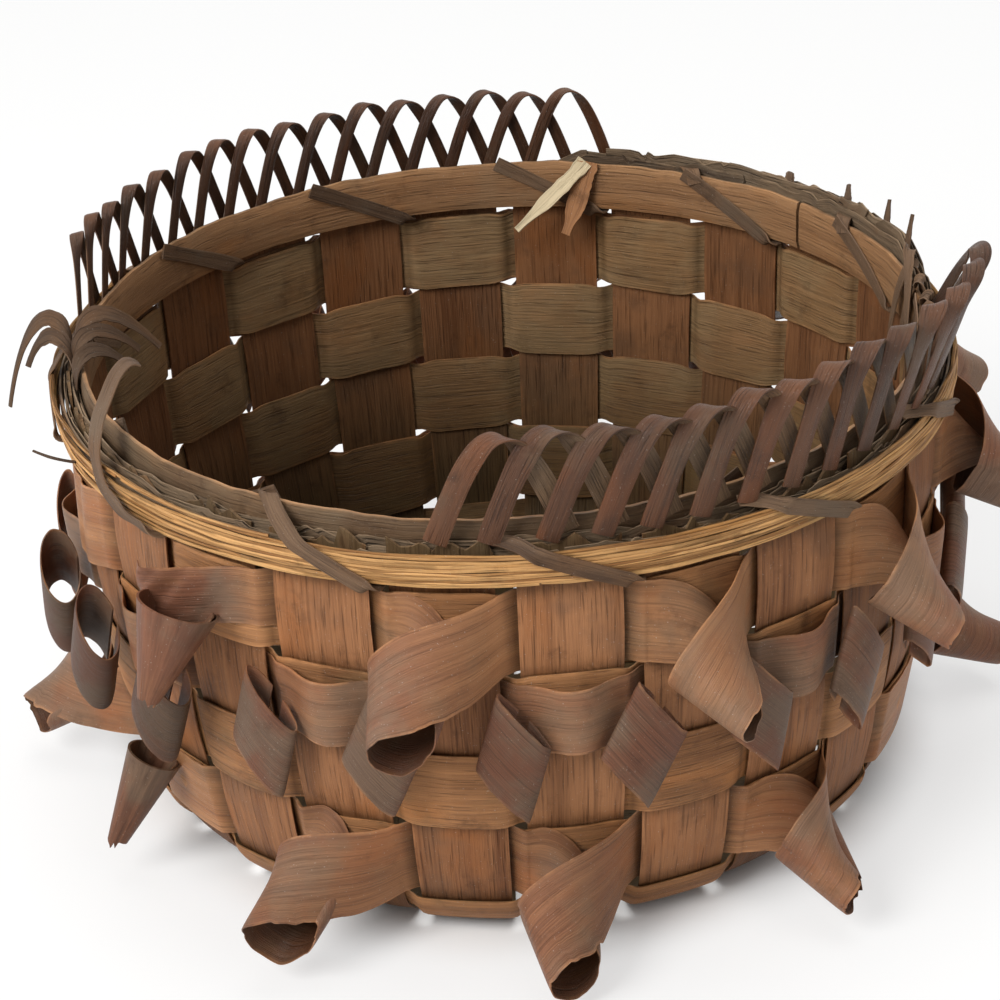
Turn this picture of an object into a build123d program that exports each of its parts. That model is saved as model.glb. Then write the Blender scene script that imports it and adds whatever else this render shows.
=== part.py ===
from build123d import *
import math
import os

# Splints: the flat wood strips that make the base and the uprights
splint_thickness = 0.8
weave_gap = 0.2
uprights = 24
upright_angle = 12.5
base_radius = 86.0
turn_radius = 17.0
wall_flare = 8.4
upright_stub = 10.5

# Weavers: the strips that go round the wall
weaver_rows = 4
weaver_width = 22.0
weaver_spacing = 0.5
foot_start_angle = 40.0
foot_end_angle = 74.0
foot_steps = 2

# Ribbons: the thin overlay strips that carry the curls
ribbon_thickness = 0.6
ribbon_width = 22.0
ribbon_butt_gap = 0.3
ribbon_steps = 30
top_axis_out = 14.5
top_axis_drop = 9.3
bottom_axis_out = 16.5
bottom_axis_drop = 8.7
curl_axis_left = 5.5
curl_outer_radius = 10.0
curl_inner_radius = 7.0
curl_advance = 5.0
curl_return = 11.0
curl_start_angle = -80.0
curl_turn_angle = 480.0
curl_flare_share = 0.14
leave_shares = (0.03, 0.33)
return_shares = (0.69, 0.95)
back_shares = (0.6, 0.97)

# Middle row: the loose bands and the petals beside them
band_width = 18.0
band_bulge = 4.5
band_steps = 10
petal_width = 21.0
petal_half_length = 9.5
petal_half_depth = 2.8
petal_slope_angle = 55.0
petal_lean_angle = 24.0
petal_drop = 8.0
petal_rest_share = 0.54
petal_start_angle = -78.0
petal_turn_angle = 336.0
petal_steps = 22

# Rim: hoops, binding and lashing above the wall
lash_hole_height = 2.6
hoop_gap = 0.2
inner_hoop_thickness = 2.2
inner_hoop_height = 14.0
inner_filler_thickness = 2.0
inner_filler_height = 9.5
outer_filler_thickness = 1.0
outer_filler_height = 9.0
outer_hoop_thickness = 1.0
outer_hoop_height = 7.0
binding_thickness = 0.9
binding_strips = 4
binding_strip_height = 2.0
binding_spacing = 0.15
hoop_butt_angle = 0.4
lash_width = 3.8
lash_thickness = 0.6
lash_wraps = 12
lash_outside_angle = 14.0
lash_gap = 0.3
lash_steps = 7

# Loop border: two runs of standing loops on the rim
front_loops = 14
front_loop_first_angle = -8.0
front_loop_pitch_angle = 6.3
front_loop_span_angle = 15.5
front_loop_rise = 26.0
front_loop_width = 5.5
back_loops = 16
back_loop_first_angle = -196.5
back_loop_pitch_angle = 6.1
back_loop_span_angle = 12.5
back_loop_rise = 24.0
back_loop_width = 4.0
loop_thickness = 0.7
loop_steps = 14

# Loose ends: torn lashing at the left, straw inside the back, stubs at the back right
loose_width = 3.6
loose_thickness = 0.6
loose_steps = 8
torn_end_angles = (-72.0, -77.0, -82.0)
torn_end_reach = 17.0
torn_end_rise = 10.0
torn_end_sweep_angle = 5.0
straw_end_angles = (167.5, 172.0)
straw_end_reach = 9.0
straw_end_fall = 12.0
straw_end_sweep_angle = -7.0
stub_end_angles = (110.0, 114.5, 127.0)
stub_end_reach = 3.0
stub_end_rise = 8.0

# The twelve curls in each row, going round from the one nearest the front on the right
top_curl_size_shares = (0.92, 0.88, 1.0, 0.95, 0.92, 1.0, 0.95, 0.9, 1.0, 0.74, 0.82, 1.0)
top_curl_out_shares = (1.0, 1.0, 1.0, 1.0, 1.0, 1.0, 1.0, 1.0, 1.0, 0.95, 0.95, 1.0)
top_curl_drop_shares = (1.1, 1.2, 1.0, 1.1, 1.2, 1.0, 1.0, 1.2, 1.0, 1.7, 1.4, 1.0)
top_curl_tilt_angles = (58.0, 54.0, 62.0, 60.0, 56.0, 62.0, 60.0, 57.0, 62.0, 26.0, 38.0, 62.0)
top_curl_lean_angles = (12.0, 8.0, -3.0, 5.0, 9.0, -3.0, 4.0, 10.0, -3.0, -4.0, 6.0, -3.0)
top_curl_wind_shares = (1.0, 1.0, 1.0, 1.0, 1.0, 1.0, 1.0, 1.0, 1.0, 1.0, 1.0, 1.0)
bottom_curl_size_shares = (0.95, 0.88, 0.9, 0.95, 0.92, 0.95, 0.95, 0.9, 0.95, 0.9, 0.64, 1.0)
bottom_curl_out_shares = (1.0, 1.0, 1.0, 1.0, 1.0, 1.0, 1.0, 1.0, 1.0, 1.0, 0.75, 1.0)
bottom_curl_drop_shares = (1.0, 0.95, 1.0, 0.9, 0.8, 1.0, 0.9, 1.0, 0.8, 0.6, 1.1, 0.6)
bottom_curl_tilt_angles = (62.0, 60.0, 60.0, 62.0, 60.0, 62.0, 62.0, 58.0, 62.0, 60.0, 22.0, 63.0)
bottom_curl_lean_angles = (3.0, 6.0, 0, 3.0, -4.0, 5.0, 0, 6.0, -4.0, 0, 0, -9.0)
bottom_curl_wind_shares = (1.0, 1.0, 0, 1.0, 1.0, 1.0, 1.0, 1.0, 1.0, 1.0, 1.0, 1.0)

pitch_angle = 360.0 / uprights
half_upright = upright_angle / 2.0
weave_offset = splint_thickness + weave_gap
tuck_depth = (splint_thickness + ribbon_thickness) / 2.0 + weave_gap
ribbon_lift = splint_thickness * 1.5 + ribbon_thickness / 2.0 + 2.0 * weave_gap
row_pitch = weaver_width + weaver_spacing
wall_height = weaver_rows * row_pitch
turn_angle = math.degrees(math.atan2(wall_height, 2.0 * wall_flare))
turn_top = splint_thickness / 2.0 + turn_radius * (1.0 - math.cos(math.radians(turn_angle)))
turn_reach = base_radius + turn_radius * math.sin(math.radians(turn_angle))
wall_top = turn_top + wall_height
rim_floor = wall_top + lash_hole_height
upright_top = wall_top + upright_stub


def wall_radius(height):
    """Radius of the middle of the uprights at a height above the turn."""
    share = min(max((height - turn_top) / wall_height, 0.0), 1.0)
    return turn_reach + wall_flare * (1.0 - (1.0 - share) ** 2)


def wall_lean(height):
    """Outward run of the wall for each unit of height."""
    share = min(max((height - turn_top) / wall_height, 0.0), 1.0)
    return 2.0 * wall_flare * (1.0 - share) / wall_height


def spot(radius, angle, height):
    """A point by its radius, its angle from the front and its height."""
    turn = math.radians(angle)
    return Vector(radius * math.sin(turn), -radius * math.cos(turn), height)


def outward(angle):
    return spot(1.0, angle, 0)


def along(angle):
    turn = math.radians(angle)
    return Vector(math.cos(turn), math.sin(turn), 0)


def ease(value, low, high):
    share = min(max((value - low) / (high - low), 0.0), 1.0)
    return share * share * (3.0 - 2.0 * share)


def strip(centres, sides, widths, thickness, square=True):
    """A flat strip: one rectangle at each centre, joined to the next by four straight-edged faces.

    A square strip has its ends cut straight across; the other kind keeps the sides as they are given.
    """
    last = len(centres) - 1
    sections = []
    for index, centre in enumerate(centres):
        run = (centres[min(index + 1, last)] - centres[max(index - 1, 0)]).normalized()
        side = sides[index].normalized()
        if square:
            side = (side - run * side.dot(run)).normalized()
        face = run.cross(side).normalized()
        wide = side * (widths[index] / 2.0)
        deep = face * (thickness / 2.0)
        low = centre - deep
        high = centre + deep
        sections.append([low - wide, low + wide, high + wide, high - wide])
    faces = [Face(Wire.make_polygon(list(reversed(sections[0])), close=True))]
    for one, two in zip(sections, sections[1:]):
        for corner in range(4):
            other = (corner + 1) % 4
            faces.append(Face.make_bezier_surface([[one[corner], two[corner]], [one[other], two[other]]]))
    faces.append(Face(Wire.make_polygon(sections[-1], close=True)))
    return Solid(Shell(faces))


def hoop(inner, outer, low, high, start=0.0):
    """A flat hoop round the rim with its two ends butted at one angle."""
    outline = Polyline((inner, 0, low), (outer, 0, low), (outer, 0, high), (inner, 0, high), close=True)
    ring = revolve(make_face(outline), Axis.Z, 360.0 - hoop_butt_angle)
    return Rot(0, 0, start) * ring


# Uprights: the wall profile turned through the width of one splint
def wall_profile():
    half = splint_thickness / 2.0
    centre = Vector(base_radius, 0, splint_thickness / 2.0 + turn_radius)
    edges = []
    sides = []
    for offset in (half, -half):
        radius = turn_radius + offset
        points = []
        for share in (0.0, 0.5, 1.0):
            turn = math.radians(turn_angle * share)
            points.append(centre + Vector(radius * math.sin(turn), 0, -radius * math.cos(turn)))
        rows = []
        for row in range(weaver_rows + 1):
            height = turn_top + row * row_pitch
            lean = math.atan(wall_lean(height))
            shift = Vector(offset * math.cos(lean), 0, -offset * math.sin(lean))
            rows.append(Vector(wall_radius(height), 0, height) + shift)
        rows[0] = points[2]
        rows.append(Vector(wall_radius(upright_top) + offset, 0, upright_top))
        edges.append(Edge.make_three_point_arc(points[0], points[1], points[2]))
        for first, second in zip(rows, rows[1:]):
            edges.append(Edge.make_line(first, second))
        sides.append((points[0], rows[-1]))
    edges.append(Edge.make_line(sides[0][0], sides[1][0]))
    edges.append(Edge.make_line(sides[0][1], sides[1][1]))
    return Face(Wire(edges))


profile = wall_profile()


def upright(angle):
    """One upright at an angle from the front; the profile starts on the X axis, 90 degrees round."""
    band = revolve(profile, Axis.Z, upright_angle)
    return Rot(0, 0, angle - 90.0 - half_upright) * band


# Base: straight strips that go over and under each other, with both ends turned up
side_count = uprights // 4
side_angles = [(index - (side_count - 1) / 2.0) * pitch_angle for index in range(side_count)]
lanes = []
for side_angle in side_angles:
    low = base_radius * math.sin(math.radians(side_angle - half_upright))
    high = base_radius * math.sin(math.radians(side_angle + half_upright))
    lanes.append((low, high))
last_angle = math.radians(side_angles[-1] + half_upright)
lead_share = 0.85
lead = lead_share * base_radius * (math.cos(last_angle) - math.sin(last_angle))
base_disc = Cylinder(base_radius, 2.0 * (splint_thickness + weave_offset))


def base_strip(lane, raised):
    """The woven middle of one splint along X, in its lane, up or down at each crossing."""
    floor = [Vector(-base_radius, 0, 0), Vector(lanes[0][0] - lead, 0, 0)]
    for (left, right), up in zip(lanes, raised):
        level = weave_offset if up else 0
        floor.append(Vector(left, 0, level))
        floor.append(Vector(right, 0, level))
    floor.append(Vector(lanes[-1][1] + lead, 0, 0))
    floor.append(Vector(base_radius, 0, 0))
    roof = [point + Vector(0, 0, splint_thickness) for point in reversed(floor)]
    sheet = Face(Wire.make_polygon(floor + roof, close=True))
    run = Pos(0, lane[0], 0) * extrude(sheet, amount=lane[1] - lane[0], dir=(0, 1, 0))
    return run & base_disc


splints = {}
for index, side_angle in enumerate(side_angles):
    raised = [(index + other) % 2 == 0 for other in range(side_count)]
    middle = base_strip(lanes[index], raised)
    ends = upright(90.0 + side_angle) + upright(-90.0 - side_angle)
    splints["splint_across_%d" % (index + 1)] = middle + ends
for index, side_angle in enumerate(side_angles):
    raised = [(index + other) % 2 == 1 for other in range(side_count)]
    middle = Rot(0, 0, 90) * base_strip((-lanes[index][1], -lanes[index][0]), raised)
    ends = upright(side_angle) + upright(180.0 - side_angle)
    splints["splint_along_%d" % (index + 1)] = middle + ends


# Weavers: closed bands that pass outside one upright and inside the next
def upright_centre(index):
    return (index + 0.5) * pitch_angle


def weaver_wire(radius, height, outside_parity, out, inside):
    """One round of a weaver: an arc at each upright and a straight run in each gap."""
    edges = []
    ends = []
    for index in range(uprights):
        rim = radius + (out if index % 2 == outside_parity else -inside)
        centre = upright_centre(index)
        start = spot(rim, centre - half_upright, height)
        stop = spot(rim, centre + half_upright, height)
        edges.append(Edge.make_three_point_arc(start, spot(rim, centre, height), stop))
        ends.append((start, stop))
    for index in range(uprights):
        edges.append(Edge.make_line(ends[index][1], ends[(index + 1) % uprights][0]))
    ordered = []
    for index in range(uprights):
        ordered.append(edges[index])
        ordered.append(edges[uprights + index])
    return Wire(ordered)


def weaver(levels, outside_parity, out, inside):
    """The space between an outer and an inner loft through the same levels."""
    half = splint_thickness / 2.0
    outer = []
    inner = []
    for radius, height, stretch in levels:
        far = (out + half) * stretch
        near = (out - half) * stretch
        outer.append(weaver_wire(radius, height, outside_parity, far, (inside - half) * stretch))
        inner.append(weaver_wire(radius, height, outside_parity, near, (inside + half) * stretch))
    return Solid.make_loft(outer, ruled=True) - Solid.make_loft(inner, ruled=True)


plain_inside = weave_offset
ribbon_inside = weave_offset + ribbon_thickness + weave_gap
row_parity = (1, 0, 1, 0)
row_has_ribbon = (True, True, False, True)
weavers = {}
rows = []
for row in range(weaver_rows):
    top = wall_top - row * row_pitch - weaver_spacing / 2.0
    low = top - weaver_width
    mean_radius = (wall_radius(top) + wall_radius(low)) / 2.0
    rows.append((mean_radius, (top + low) / 2.0, (wall_radius(top) - wall_radius(low)) / weaver_width))
    levels = [(wall_radius(level), level, math.hypot(1.0, wall_lean(level))) for level in (low, top)]
    inside = ribbon_inside if row_has_ribbon[row] else plain_inside
    weavers["weaver_%d" % (row + 1)] = weaver(levels, row_parity[row], weave_offset, inside)
foot_levels = []
foot_step_angle = (foot_end_angle - foot_start_angle) / foot_steps
foot_sag = turn_radius * (1.0 - math.cos(math.radians(foot_step_angle / 2.0)))
for step in range(foot_steps + 1):
    turn = math.radians(foot_start_angle + step * foot_step_angle)
    radius = base_radius + turn_radius * math.sin(turn)
    height = splint_thickness / 2.0 + turn_radius * (1.0 - math.cos(turn))
    foot_levels.append((radius, height, 1.0 / math.sin(turn)))
weavers["weaver_foot"] = weaver(foot_levels, 1, weave_offset + foot_sag, plain_inside)


# Ribbon runs: flat under the uprights, over the weaver in the gaps, free between
def wall_side(angle, lean):
    return (outward(angle) * lean + Vector(0, 0, 1)).normalized()


def tucked(centre, ends, radius, height):
    """Ribbon under one upright and out over its edge, from the angles listed."""
    points = []
    for angle, offset in ends:
        points.append(spot(radius + offset, centre + angle, height))
    return points


def tuck_ends():
    """Angles and radial offsets from the middle of one upright to the edge of the next."""
    butt = math.degrees(ribbon_butt_gap / 2.0 / wall_radius(wall_top))
    edge = pitch_angle - half_upright
    return [(pitch_angle - butt, -tuck_depth), ((pitch_angle + edge) / 2.0, -tuck_depth), (edge, -tuck_depth)]


def curl_run(centre, row, reach_out, fall, shape):
    """A ribbon that leaves the right edge, winds once round a slanting axis and goes in at the left."""
    radius, height, slope = row
    size, out_share, drop_share, tilt, lean, wind_share = shape
    right = along(centre)
    out_way = outward(centre)
    tilt_turn = math.radians(tilt)
    lean_turn = math.radians(lean)
    front = out_way * math.cos(tilt_turn) + Vector(0, 0, math.sin(tilt_turn))
    down = out_way * math.sin(tilt_turn) - Vector(0, 0, math.cos(tilt_turn))
    axis = (down * math.cos(lean_turn) + right * math.sin(lean_turn)).normalized()
    left = front.cross(axis).normalized()
    if left.dot(right) > 0:
        left = left * -1.0
    hub = spot(radius + reach_out * out_share, centre, height - fall * drop_share) - right * curl_axis_left
    points = tucked(centre, tuck_ends(), radius, height)
    sides = [wall_side(centre + angle, slope) for angle, _ in tuck_ends()]
    for step in range(ribbon_steps + 1):
        share = step / ribbon_steps
        turn = math.radians(curl_start_angle + curl_turn_angle * share)
        ray = front * math.cos(turn) + left * math.sin(turn)
        reach = (curl_outer_radius + (curl_inner_radius - curl_outer_radius) * share) * size
        shift = (curl_advance - (curl_advance + curl_return) * ease(share, *back_shares)) * size
        wound = hub + ray * reach + axis * shift
        flat = spot(radius + ribbon_lift, centre + half_upright * (1.0 - 2.0 * share), height)
        weight = ease(share, *leave_shares) * (1.0 - ease(share, *return_shares)) * wind_share
        points.append(flat * (1.0 - weight) + wound * weight)
        sides.append(wall_side(centre, slope) * (1.0 - weight) + (ray * curl_flare_share - axis) * weight)
    mirrored = [(-angle, offset) for angle, offset in reversed(tuck_ends())]
    points.extend(tucked(centre, mirrored, radius, height))
    sides.extend(wall_side(centre + angle, slope) for angle, _ in mirrored)
    return strip(points, sides, [ribbon_width] * len(points), ribbon_thickness, square=False)


# Each curl has its own shape; a wind share of nothing leaves the ribbon flat over its upright
top_curl_shapes = list(zip(top_curl_size_shares, top_curl_out_shares, top_curl_drop_shares,
                           top_curl_tilt_angles, top_curl_lean_angles, top_curl_wind_shares))
bottom_curl_shapes = list(zip(bottom_curl_size_shares, bottom_curl_out_shares, bottom_curl_drop_shares,
                              bottom_curl_tilt_angles, bottom_curl_lean_angles, bottom_curl_wind_shares))
top_curls = []
bottom_curls = []
for index in range(uprights // 2):
    top_shape = top_curl_shapes[index]
    bottom_shape = bottom_curl_shapes[index]
    angle = upright_centre(2 * index + 1)
    top_curls.append(curl_run(angle, rows[0], top_axis_out, top_axis_drop, top_shape))
    angle = upright_centre(2 * index)
    bottom_curls.append(curl_run(angle, rows[3], bottom_axis_out, bottom_axis_drop, bottom_shape))


# Middle row: a loose band over every second upright and a folded petal at each of its ends
def band_run(centre, row):
    radius, height, slope = row
    points = tucked(centre, tuck_ends(), radius, height)
    for step in range(band_steps + 1):
        share = step / band_steps
        swell = math.sin(math.pi * share)
        spread = half_upright * (1.0 - 2.0 * share)
        points.append(spot(radius + ribbon_lift + band_bulge * swell * swell, centre + spread, height))
    mirrored = [(-angle, offset) for angle, offset in reversed(tuck_ends())]
    points.extend(tucked(centre, mirrored, radius, height))
    spreads = [angle for angle, _ in tuck_ends()]
    spreads.extend(half_upright * (1.0 - 2.0 * step / band_steps) for step in range(band_steps + 1))
    spreads.extend(angle for angle, _ in mirrored)
    sides = [wall_side(centre + angle, slope) for angle in spreads]
    return strip(points, sides, [band_width] * len(points), ribbon_thickness, square=False)


petal_reach = petal_half_length * math.cos(math.radians(petal_slope_angle))
petal_reach = petal_reach + petal_width / 2.0 * math.sin(math.radians(petal_lean_angle))
petal_inner_angle = pitch_angle / 2.0 - math.degrees(petal_reach / rows[1][0])
petal_band_share = min(max((half_upright - petal_inner_angle) / upright_angle, 0.0), 0.5)
band_under_petal = band_bulge * math.sin(math.pi * petal_band_share) ** 2
petal_seat = ribbon_lift + ribbon_thickness + band_under_petal * petal_rest_share + weave_gap


def petal_loop(centre, row):
    """A short ribbon folded into a flat slanting tube that hangs against the wall."""
    radius, height, wall_slope = row
    right = along(centre)
    out_way = outward(centre)
    slope = math.radians(petal_slope_angle)
    lean = math.radians(petal_lean_angle)
    run = right * math.cos(slope) - Vector(0, 0, math.sin(slope))
    axis = right * -math.sin(lean) - Vector(0, 0, math.cos(lean))
    stand = radius + petal_seat + petal_half_depth
    hub = spot(stand, centre, height - petal_drop)
    points = []
    sides = []
    for step in range(petal_steps + 1):
        turn = math.radians(petal_start_angle + petal_turn_angle * step / petal_steps)
        lie = run * (petal_half_length * math.cos(turn))
        points.append(hub + lie + out_way * (petal_half_depth * math.sin(turn)))
        sides.append(axis * -1.0)
    return strip(points, sides, [petal_width] * len(points), ribbon_thickness)


bands = []
petals = []
for index in range(uprights // 2):
    angle = upright_centre(2 * index)
    bands.append(band_run(angle, rows[1]))
    for side in (-1.0, 1.0):
        petals.append(petal_loop(angle + side * pitch_angle / 2.0, rows[1]))


# Rim: hoops from the inside out, all standing on one level above the lashing holes
rim_radius = wall_radius(upright_top)
inner_filler_outer = rim_radius - splint_thickness / 2.0 - hoop_gap
inner_filler_inner = inner_filler_outer - inner_filler_thickness
inner_hoop_outer = inner_filler_inner - hoop_gap
inner_hoop_inner = inner_hoop_outer - inner_hoop_thickness
outer_filler_inner = rim_radius + splint_thickness / 2.0 + hoop_gap
outer_filler_outer = outer_filler_inner + outer_filler_thickness
outer_hoop_inner = outer_filler_outer + hoop_gap
outer_hoop_outer = outer_hoop_inner + outer_hoop_thickness
binding_inner = outer_hoop_outer + hoop_gap
binding_outer = binding_inner + binding_thickness
inner_hoop_top = rim_floor + inner_hoop_height
inner_filler_top = rim_floor + inner_filler_height
outer_filler_top = rim_floor + outer_filler_height
binding_top = rim_floor + binding_strips * (binding_strip_height + binding_spacing) - binding_spacing
rim = {
    "inner_hoop": hoop(inner_hoop_inner, inner_hoop_outer, rim_floor, inner_hoop_top, 40.0),
    "inner_filler": hoop(inner_filler_inner, inner_filler_outer, rim_floor, inner_filler_top, 130.0),
    "outer_filler": hoop(outer_filler_inner, outer_filler_outer, rim_floor, outer_filler_top, 220.0),
    "outer_hoop": hoop(outer_hoop_inner, outer_hoop_outer, rim_floor, rim_floor + outer_hoop_height, 310.0),
}
for index in range(binding_strips):
    low = rim_floor + index * (binding_strip_height + binding_spacing)
    start = 85.0 * index
    name = "binding_%d" % (index + 1)
    rim[name] = hoop(binding_inner, binding_outer, low, low + binding_strip_height, start)


# Loops: each rises outside, bends over inward and comes down inside, moving along the rim
def loop_run(start, span, rise, width):
    outer = (outer_filler_inner + outer_filler_outer) / 2.0
    inner = (inner_filler_inner + inner_filler_outer) / 2.0
    middle = (outer + inner) / 2.0
    depth = (outer - inner) / 2.0
    slant = math.atan2(math.radians(span) * middle / math.pi, rise)
    lift = width / 2.0 * math.sin(slant) + hoop_gap
    points = []
    sides = []
    for step in range(loop_steps + 1):
        share = step / loop_steps
        turn = math.pi * share
        foot = outer_filler_top + (inner_filler_top - outer_filler_top) * share + lift
        angle = start + span * share
        points.append(spot(middle + depth * math.cos(turn), angle, foot + rise * math.sin(turn)))
        sides.append(along(angle))
    return strip(points, sides, [width] * len(points), loop_thickness)


front_set = []
for index in range(front_loops):
    start = front_loop_first_angle + index * front_loop_pitch_angle
    front_set.append(loop_run(start, front_loop_span_angle, front_loop_rise, front_loop_width))
back_set = []
for index in range(back_loops):
    start = back_loop_first_angle + index * back_loop_pitch_angle
    back_set.append(loop_run(start, back_loop_span_angle, back_loop_rise, back_loop_width))


# Lashing: in through every second hole, up the inside, and over the top where no loops stand
def under_loops(angle):
    """Whether loops stand on the rim at an angle from the front."""
    margin = math.degrees(front_loop_width / rim_radius)
    front_stop = front_loop_first_angle + (front_loops - 1) * front_loop_pitch_angle + front_loop_span_angle
    back_stop = back_loop_first_angle + (back_loops - 1) * back_loop_pitch_angle + back_loop_span_angle
    for first, stop in ((front_loop_first_angle, front_stop), (back_loop_first_angle, back_stop)):
        if (angle - first + margin) % 360.0 < stop - first + 2.0 * margin:
            return True
    return False


def lash_wrap(hole):
    clear = lash_gap + lash_thickness / 2.0
    near = inner_hoop_inner - clear
    far = binding_outer + clear
    level = wall_top + lash_hole_height / 2.0
    roof = inner_hoop_top + clear
    wrap_angle = 360.0 / lash_wraps
    inside_angle = wrap_angle - lash_outside_angle
    path = []
    for step in range(lash_steps):
        share = 1.0 - step / lash_steps
        path.append((near, hole + inside_angle * share, level + (inner_hoop_top - level) * share))
    path.append((near, hole, level))
    path.append(((near + far) / 2.0, hole, level))
    path.append((far, hole, level))
    for step in range(lash_steps):
        share = (step + 1.0) / lash_steps
        path.append((far, hole - lash_outside_angle * share, level + (binding_top - level) * share))
    if not under_loops(hole - lash_outside_angle):
        over = hole - lash_outside_angle
        path.append(((far + inner_hoop_outer) / 2.0, over, (binding_top + roof) / 2.0 + clear))
        path.append((inner_hoop_outer, over, roof))
        path.append((near + lash_thickness, over, roof))
    points = [spot(radius, angle, height) for radius, angle, height in path]
    sides = [along(angle) for radius, angle, height in path]
    return strip(points, sides, [lash_width] * len(points), lash_thickness)


lashing = [lash_wrap(pitch_angle * (2 * index + 1)) for index in range(lash_wraps)]


# Loose ends: short strips bent along a three point curve
def bent_strip(first, middle, last, angle):
    points = []
    for step in range(loose_steps + 1):
        share = step / loose_steps
        rest = 1.0 - share
        points.append(first * (rest * rest) + middle * (2.0 * rest * share) + last * (share * share))
    return strip(points, [along(angle)] * len(points), [loose_width] * len(points), loose_thickness)


seat_radius = (inner_filler_inner + inner_filler_outer) / 2.0
seat_height = inner_filler_top + hoop_gap
inside_radius = inner_hoop_inner - lash_gap - loose_thickness / 2.0
loose_ends = []
for angle in torn_end_angles:
    first = spot(seat_radius, angle, seat_height)
    middle = spot(seat_radius, angle, seat_height + 2.0 * torn_end_rise)
    last = spot(binding_outer + torn_end_reach, angle + torn_end_sweep_angle, seat_height + torn_end_rise)
    loose_ends.append(bent_strip(first, middle, last, angle))
for angle in straw_end_angles:
    first = spot(inside_radius, angle, inner_hoop_top)
    middle = spot(inside_radius, angle, rim_floor + inner_hoop_height / 2.0)
    swept = angle + straw_end_sweep_angle
    last = spot(inside_radius - straw_end_reach, swept, inner_hoop_top - straw_end_fall)
    loose_ends.append(bent_strip(first, middle, last, angle))
for angle in stub_end_angles:
    first = spot(seat_radius, angle, seat_height)
    middle = spot(seat_radius, angle, seat_height + stub_end_rise / 2.0)
    last = spot(seat_radius + stub_end_reach, angle, seat_height + stub_end_rise)
    loose_ends.append(bent_strip(first, middle, last, angle))


# One file for each piece or set of like pieces
pieces = {}
pieces.update(splints)
pieces.update(weavers)
pieces["ribbons_top"] = Compound(top_curls)
pieces["ribbons_middle"] = Compound(bands)
pieces["petals"] = Compound(petals)
pieces["ribbons_bottom"] = Compound(bottom_curls)
pieces.update(rim)
pieces["lashing"] = Compound(lashing)
pieces["loops_front"] = Compound(front_set)
pieces["loops_back"] = Compound(back_set)
pieces["loose_ends"] = Compound(loose_ends)
os.makedirs("parts", exist_ok=True)
for name, piece in pieces.items():
    export_step(piece, "parts/" + name + ".step")
    print(name, round(piece.volume, 1))
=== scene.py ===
# %% [markdown]
# # A quill basket of wood splints, with curls standing out all round
# The real basket is woven from flat strips of wood that were split along the grain.
# Thin ribbons are slipped under the uprights and twisted into curled points.
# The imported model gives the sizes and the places, and this lesson dresses each of its
# pieces with a finer skin and a grain that follows the strip.

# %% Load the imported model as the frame
import bpy
import numpy as np
from mathutils import Matrix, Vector
from numpy.random import default_rng


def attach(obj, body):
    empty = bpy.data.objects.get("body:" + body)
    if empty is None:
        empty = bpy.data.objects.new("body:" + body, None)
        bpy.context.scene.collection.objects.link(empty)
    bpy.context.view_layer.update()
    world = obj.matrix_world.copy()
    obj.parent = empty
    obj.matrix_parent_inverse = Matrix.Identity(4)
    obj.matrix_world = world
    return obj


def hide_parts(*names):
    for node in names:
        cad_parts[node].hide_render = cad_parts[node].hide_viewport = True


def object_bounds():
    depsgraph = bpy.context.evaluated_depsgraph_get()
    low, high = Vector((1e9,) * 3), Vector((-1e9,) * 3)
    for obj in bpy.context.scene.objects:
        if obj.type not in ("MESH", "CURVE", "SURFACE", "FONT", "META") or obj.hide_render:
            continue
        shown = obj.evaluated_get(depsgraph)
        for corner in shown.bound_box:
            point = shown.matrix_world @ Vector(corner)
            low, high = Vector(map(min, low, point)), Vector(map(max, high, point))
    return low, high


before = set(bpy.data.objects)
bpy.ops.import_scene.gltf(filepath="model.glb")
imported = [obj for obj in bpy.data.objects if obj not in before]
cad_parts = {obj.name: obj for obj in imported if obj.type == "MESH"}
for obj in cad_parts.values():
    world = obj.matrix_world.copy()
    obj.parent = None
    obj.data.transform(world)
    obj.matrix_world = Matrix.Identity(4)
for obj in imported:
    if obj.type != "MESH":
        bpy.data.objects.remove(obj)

scene = bpy.context.scene
cad_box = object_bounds()
print("nodes in the frame:", len(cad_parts))

# %% [markdown]
# ## The camera
# The camera comes first, so that every later step can be compared with the photograph.
# It could be aimed with a Track To constraint, but the picture is rolled a little and its
# centre is off the optical axis, so the four columns of the camera's matrix are worked out.

# %% Place the camera
def put(name, data):
    """New object with this data, linked into the scene."""
    made = bpy.data.objects.new(name, data)
    scene.collection.objects.link(made)
    return made


def stand(made, right, up, back, place):
    """Turn and place an object by the columns of its matrix: its own X, Y and Z, and its place."""
    pose = np.eye(4)
    pose[:3] = np.stack([right, up, back, place], axis=1)
    made.matrix_world = Matrix(pose.tolist())


eye_elevation = np.radians(29.164)
eye_azimuth = np.radians(1.1)
eye_roll = np.radians(-2.686)
eye_distance = 0.7673
eye_target = np.array([0, 0, 0.05313])

ahead = np.array([-np.sin(eye_azimuth) * np.cos(eye_elevation),
                  np.cos(eye_azimuth) * np.cos(eye_elevation), -np.sin(eye_elevation)])
level_right = np.array([np.cos(eye_azimuth), np.sin(eye_azimuth), 0])
level_up = np.cross(level_right, ahead)
eye_right = level_right * np.cos(eye_roll) + level_up * np.sin(eye_roll)
eye_up = level_up * np.cos(eye_roll) - level_right * np.sin(eye_roll)
eye_place = eye_target - ahead * eye_distance

camera_data = bpy.data.cameras.new("photo_camera")
camera_data.lens = 103.29
camera_data.sensor_width = 36
camera_data.shift_x = -0.0133
camera_data.shift_y = 0.0474
camera_data.clip_start = 0.01
camera = put("photo_camera", camera_data)
stand(camera, eye_right, eye_up, -ahead, eye_place)
scene.camera = camera
print("camera at", np.round(eye_place, 3))

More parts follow.
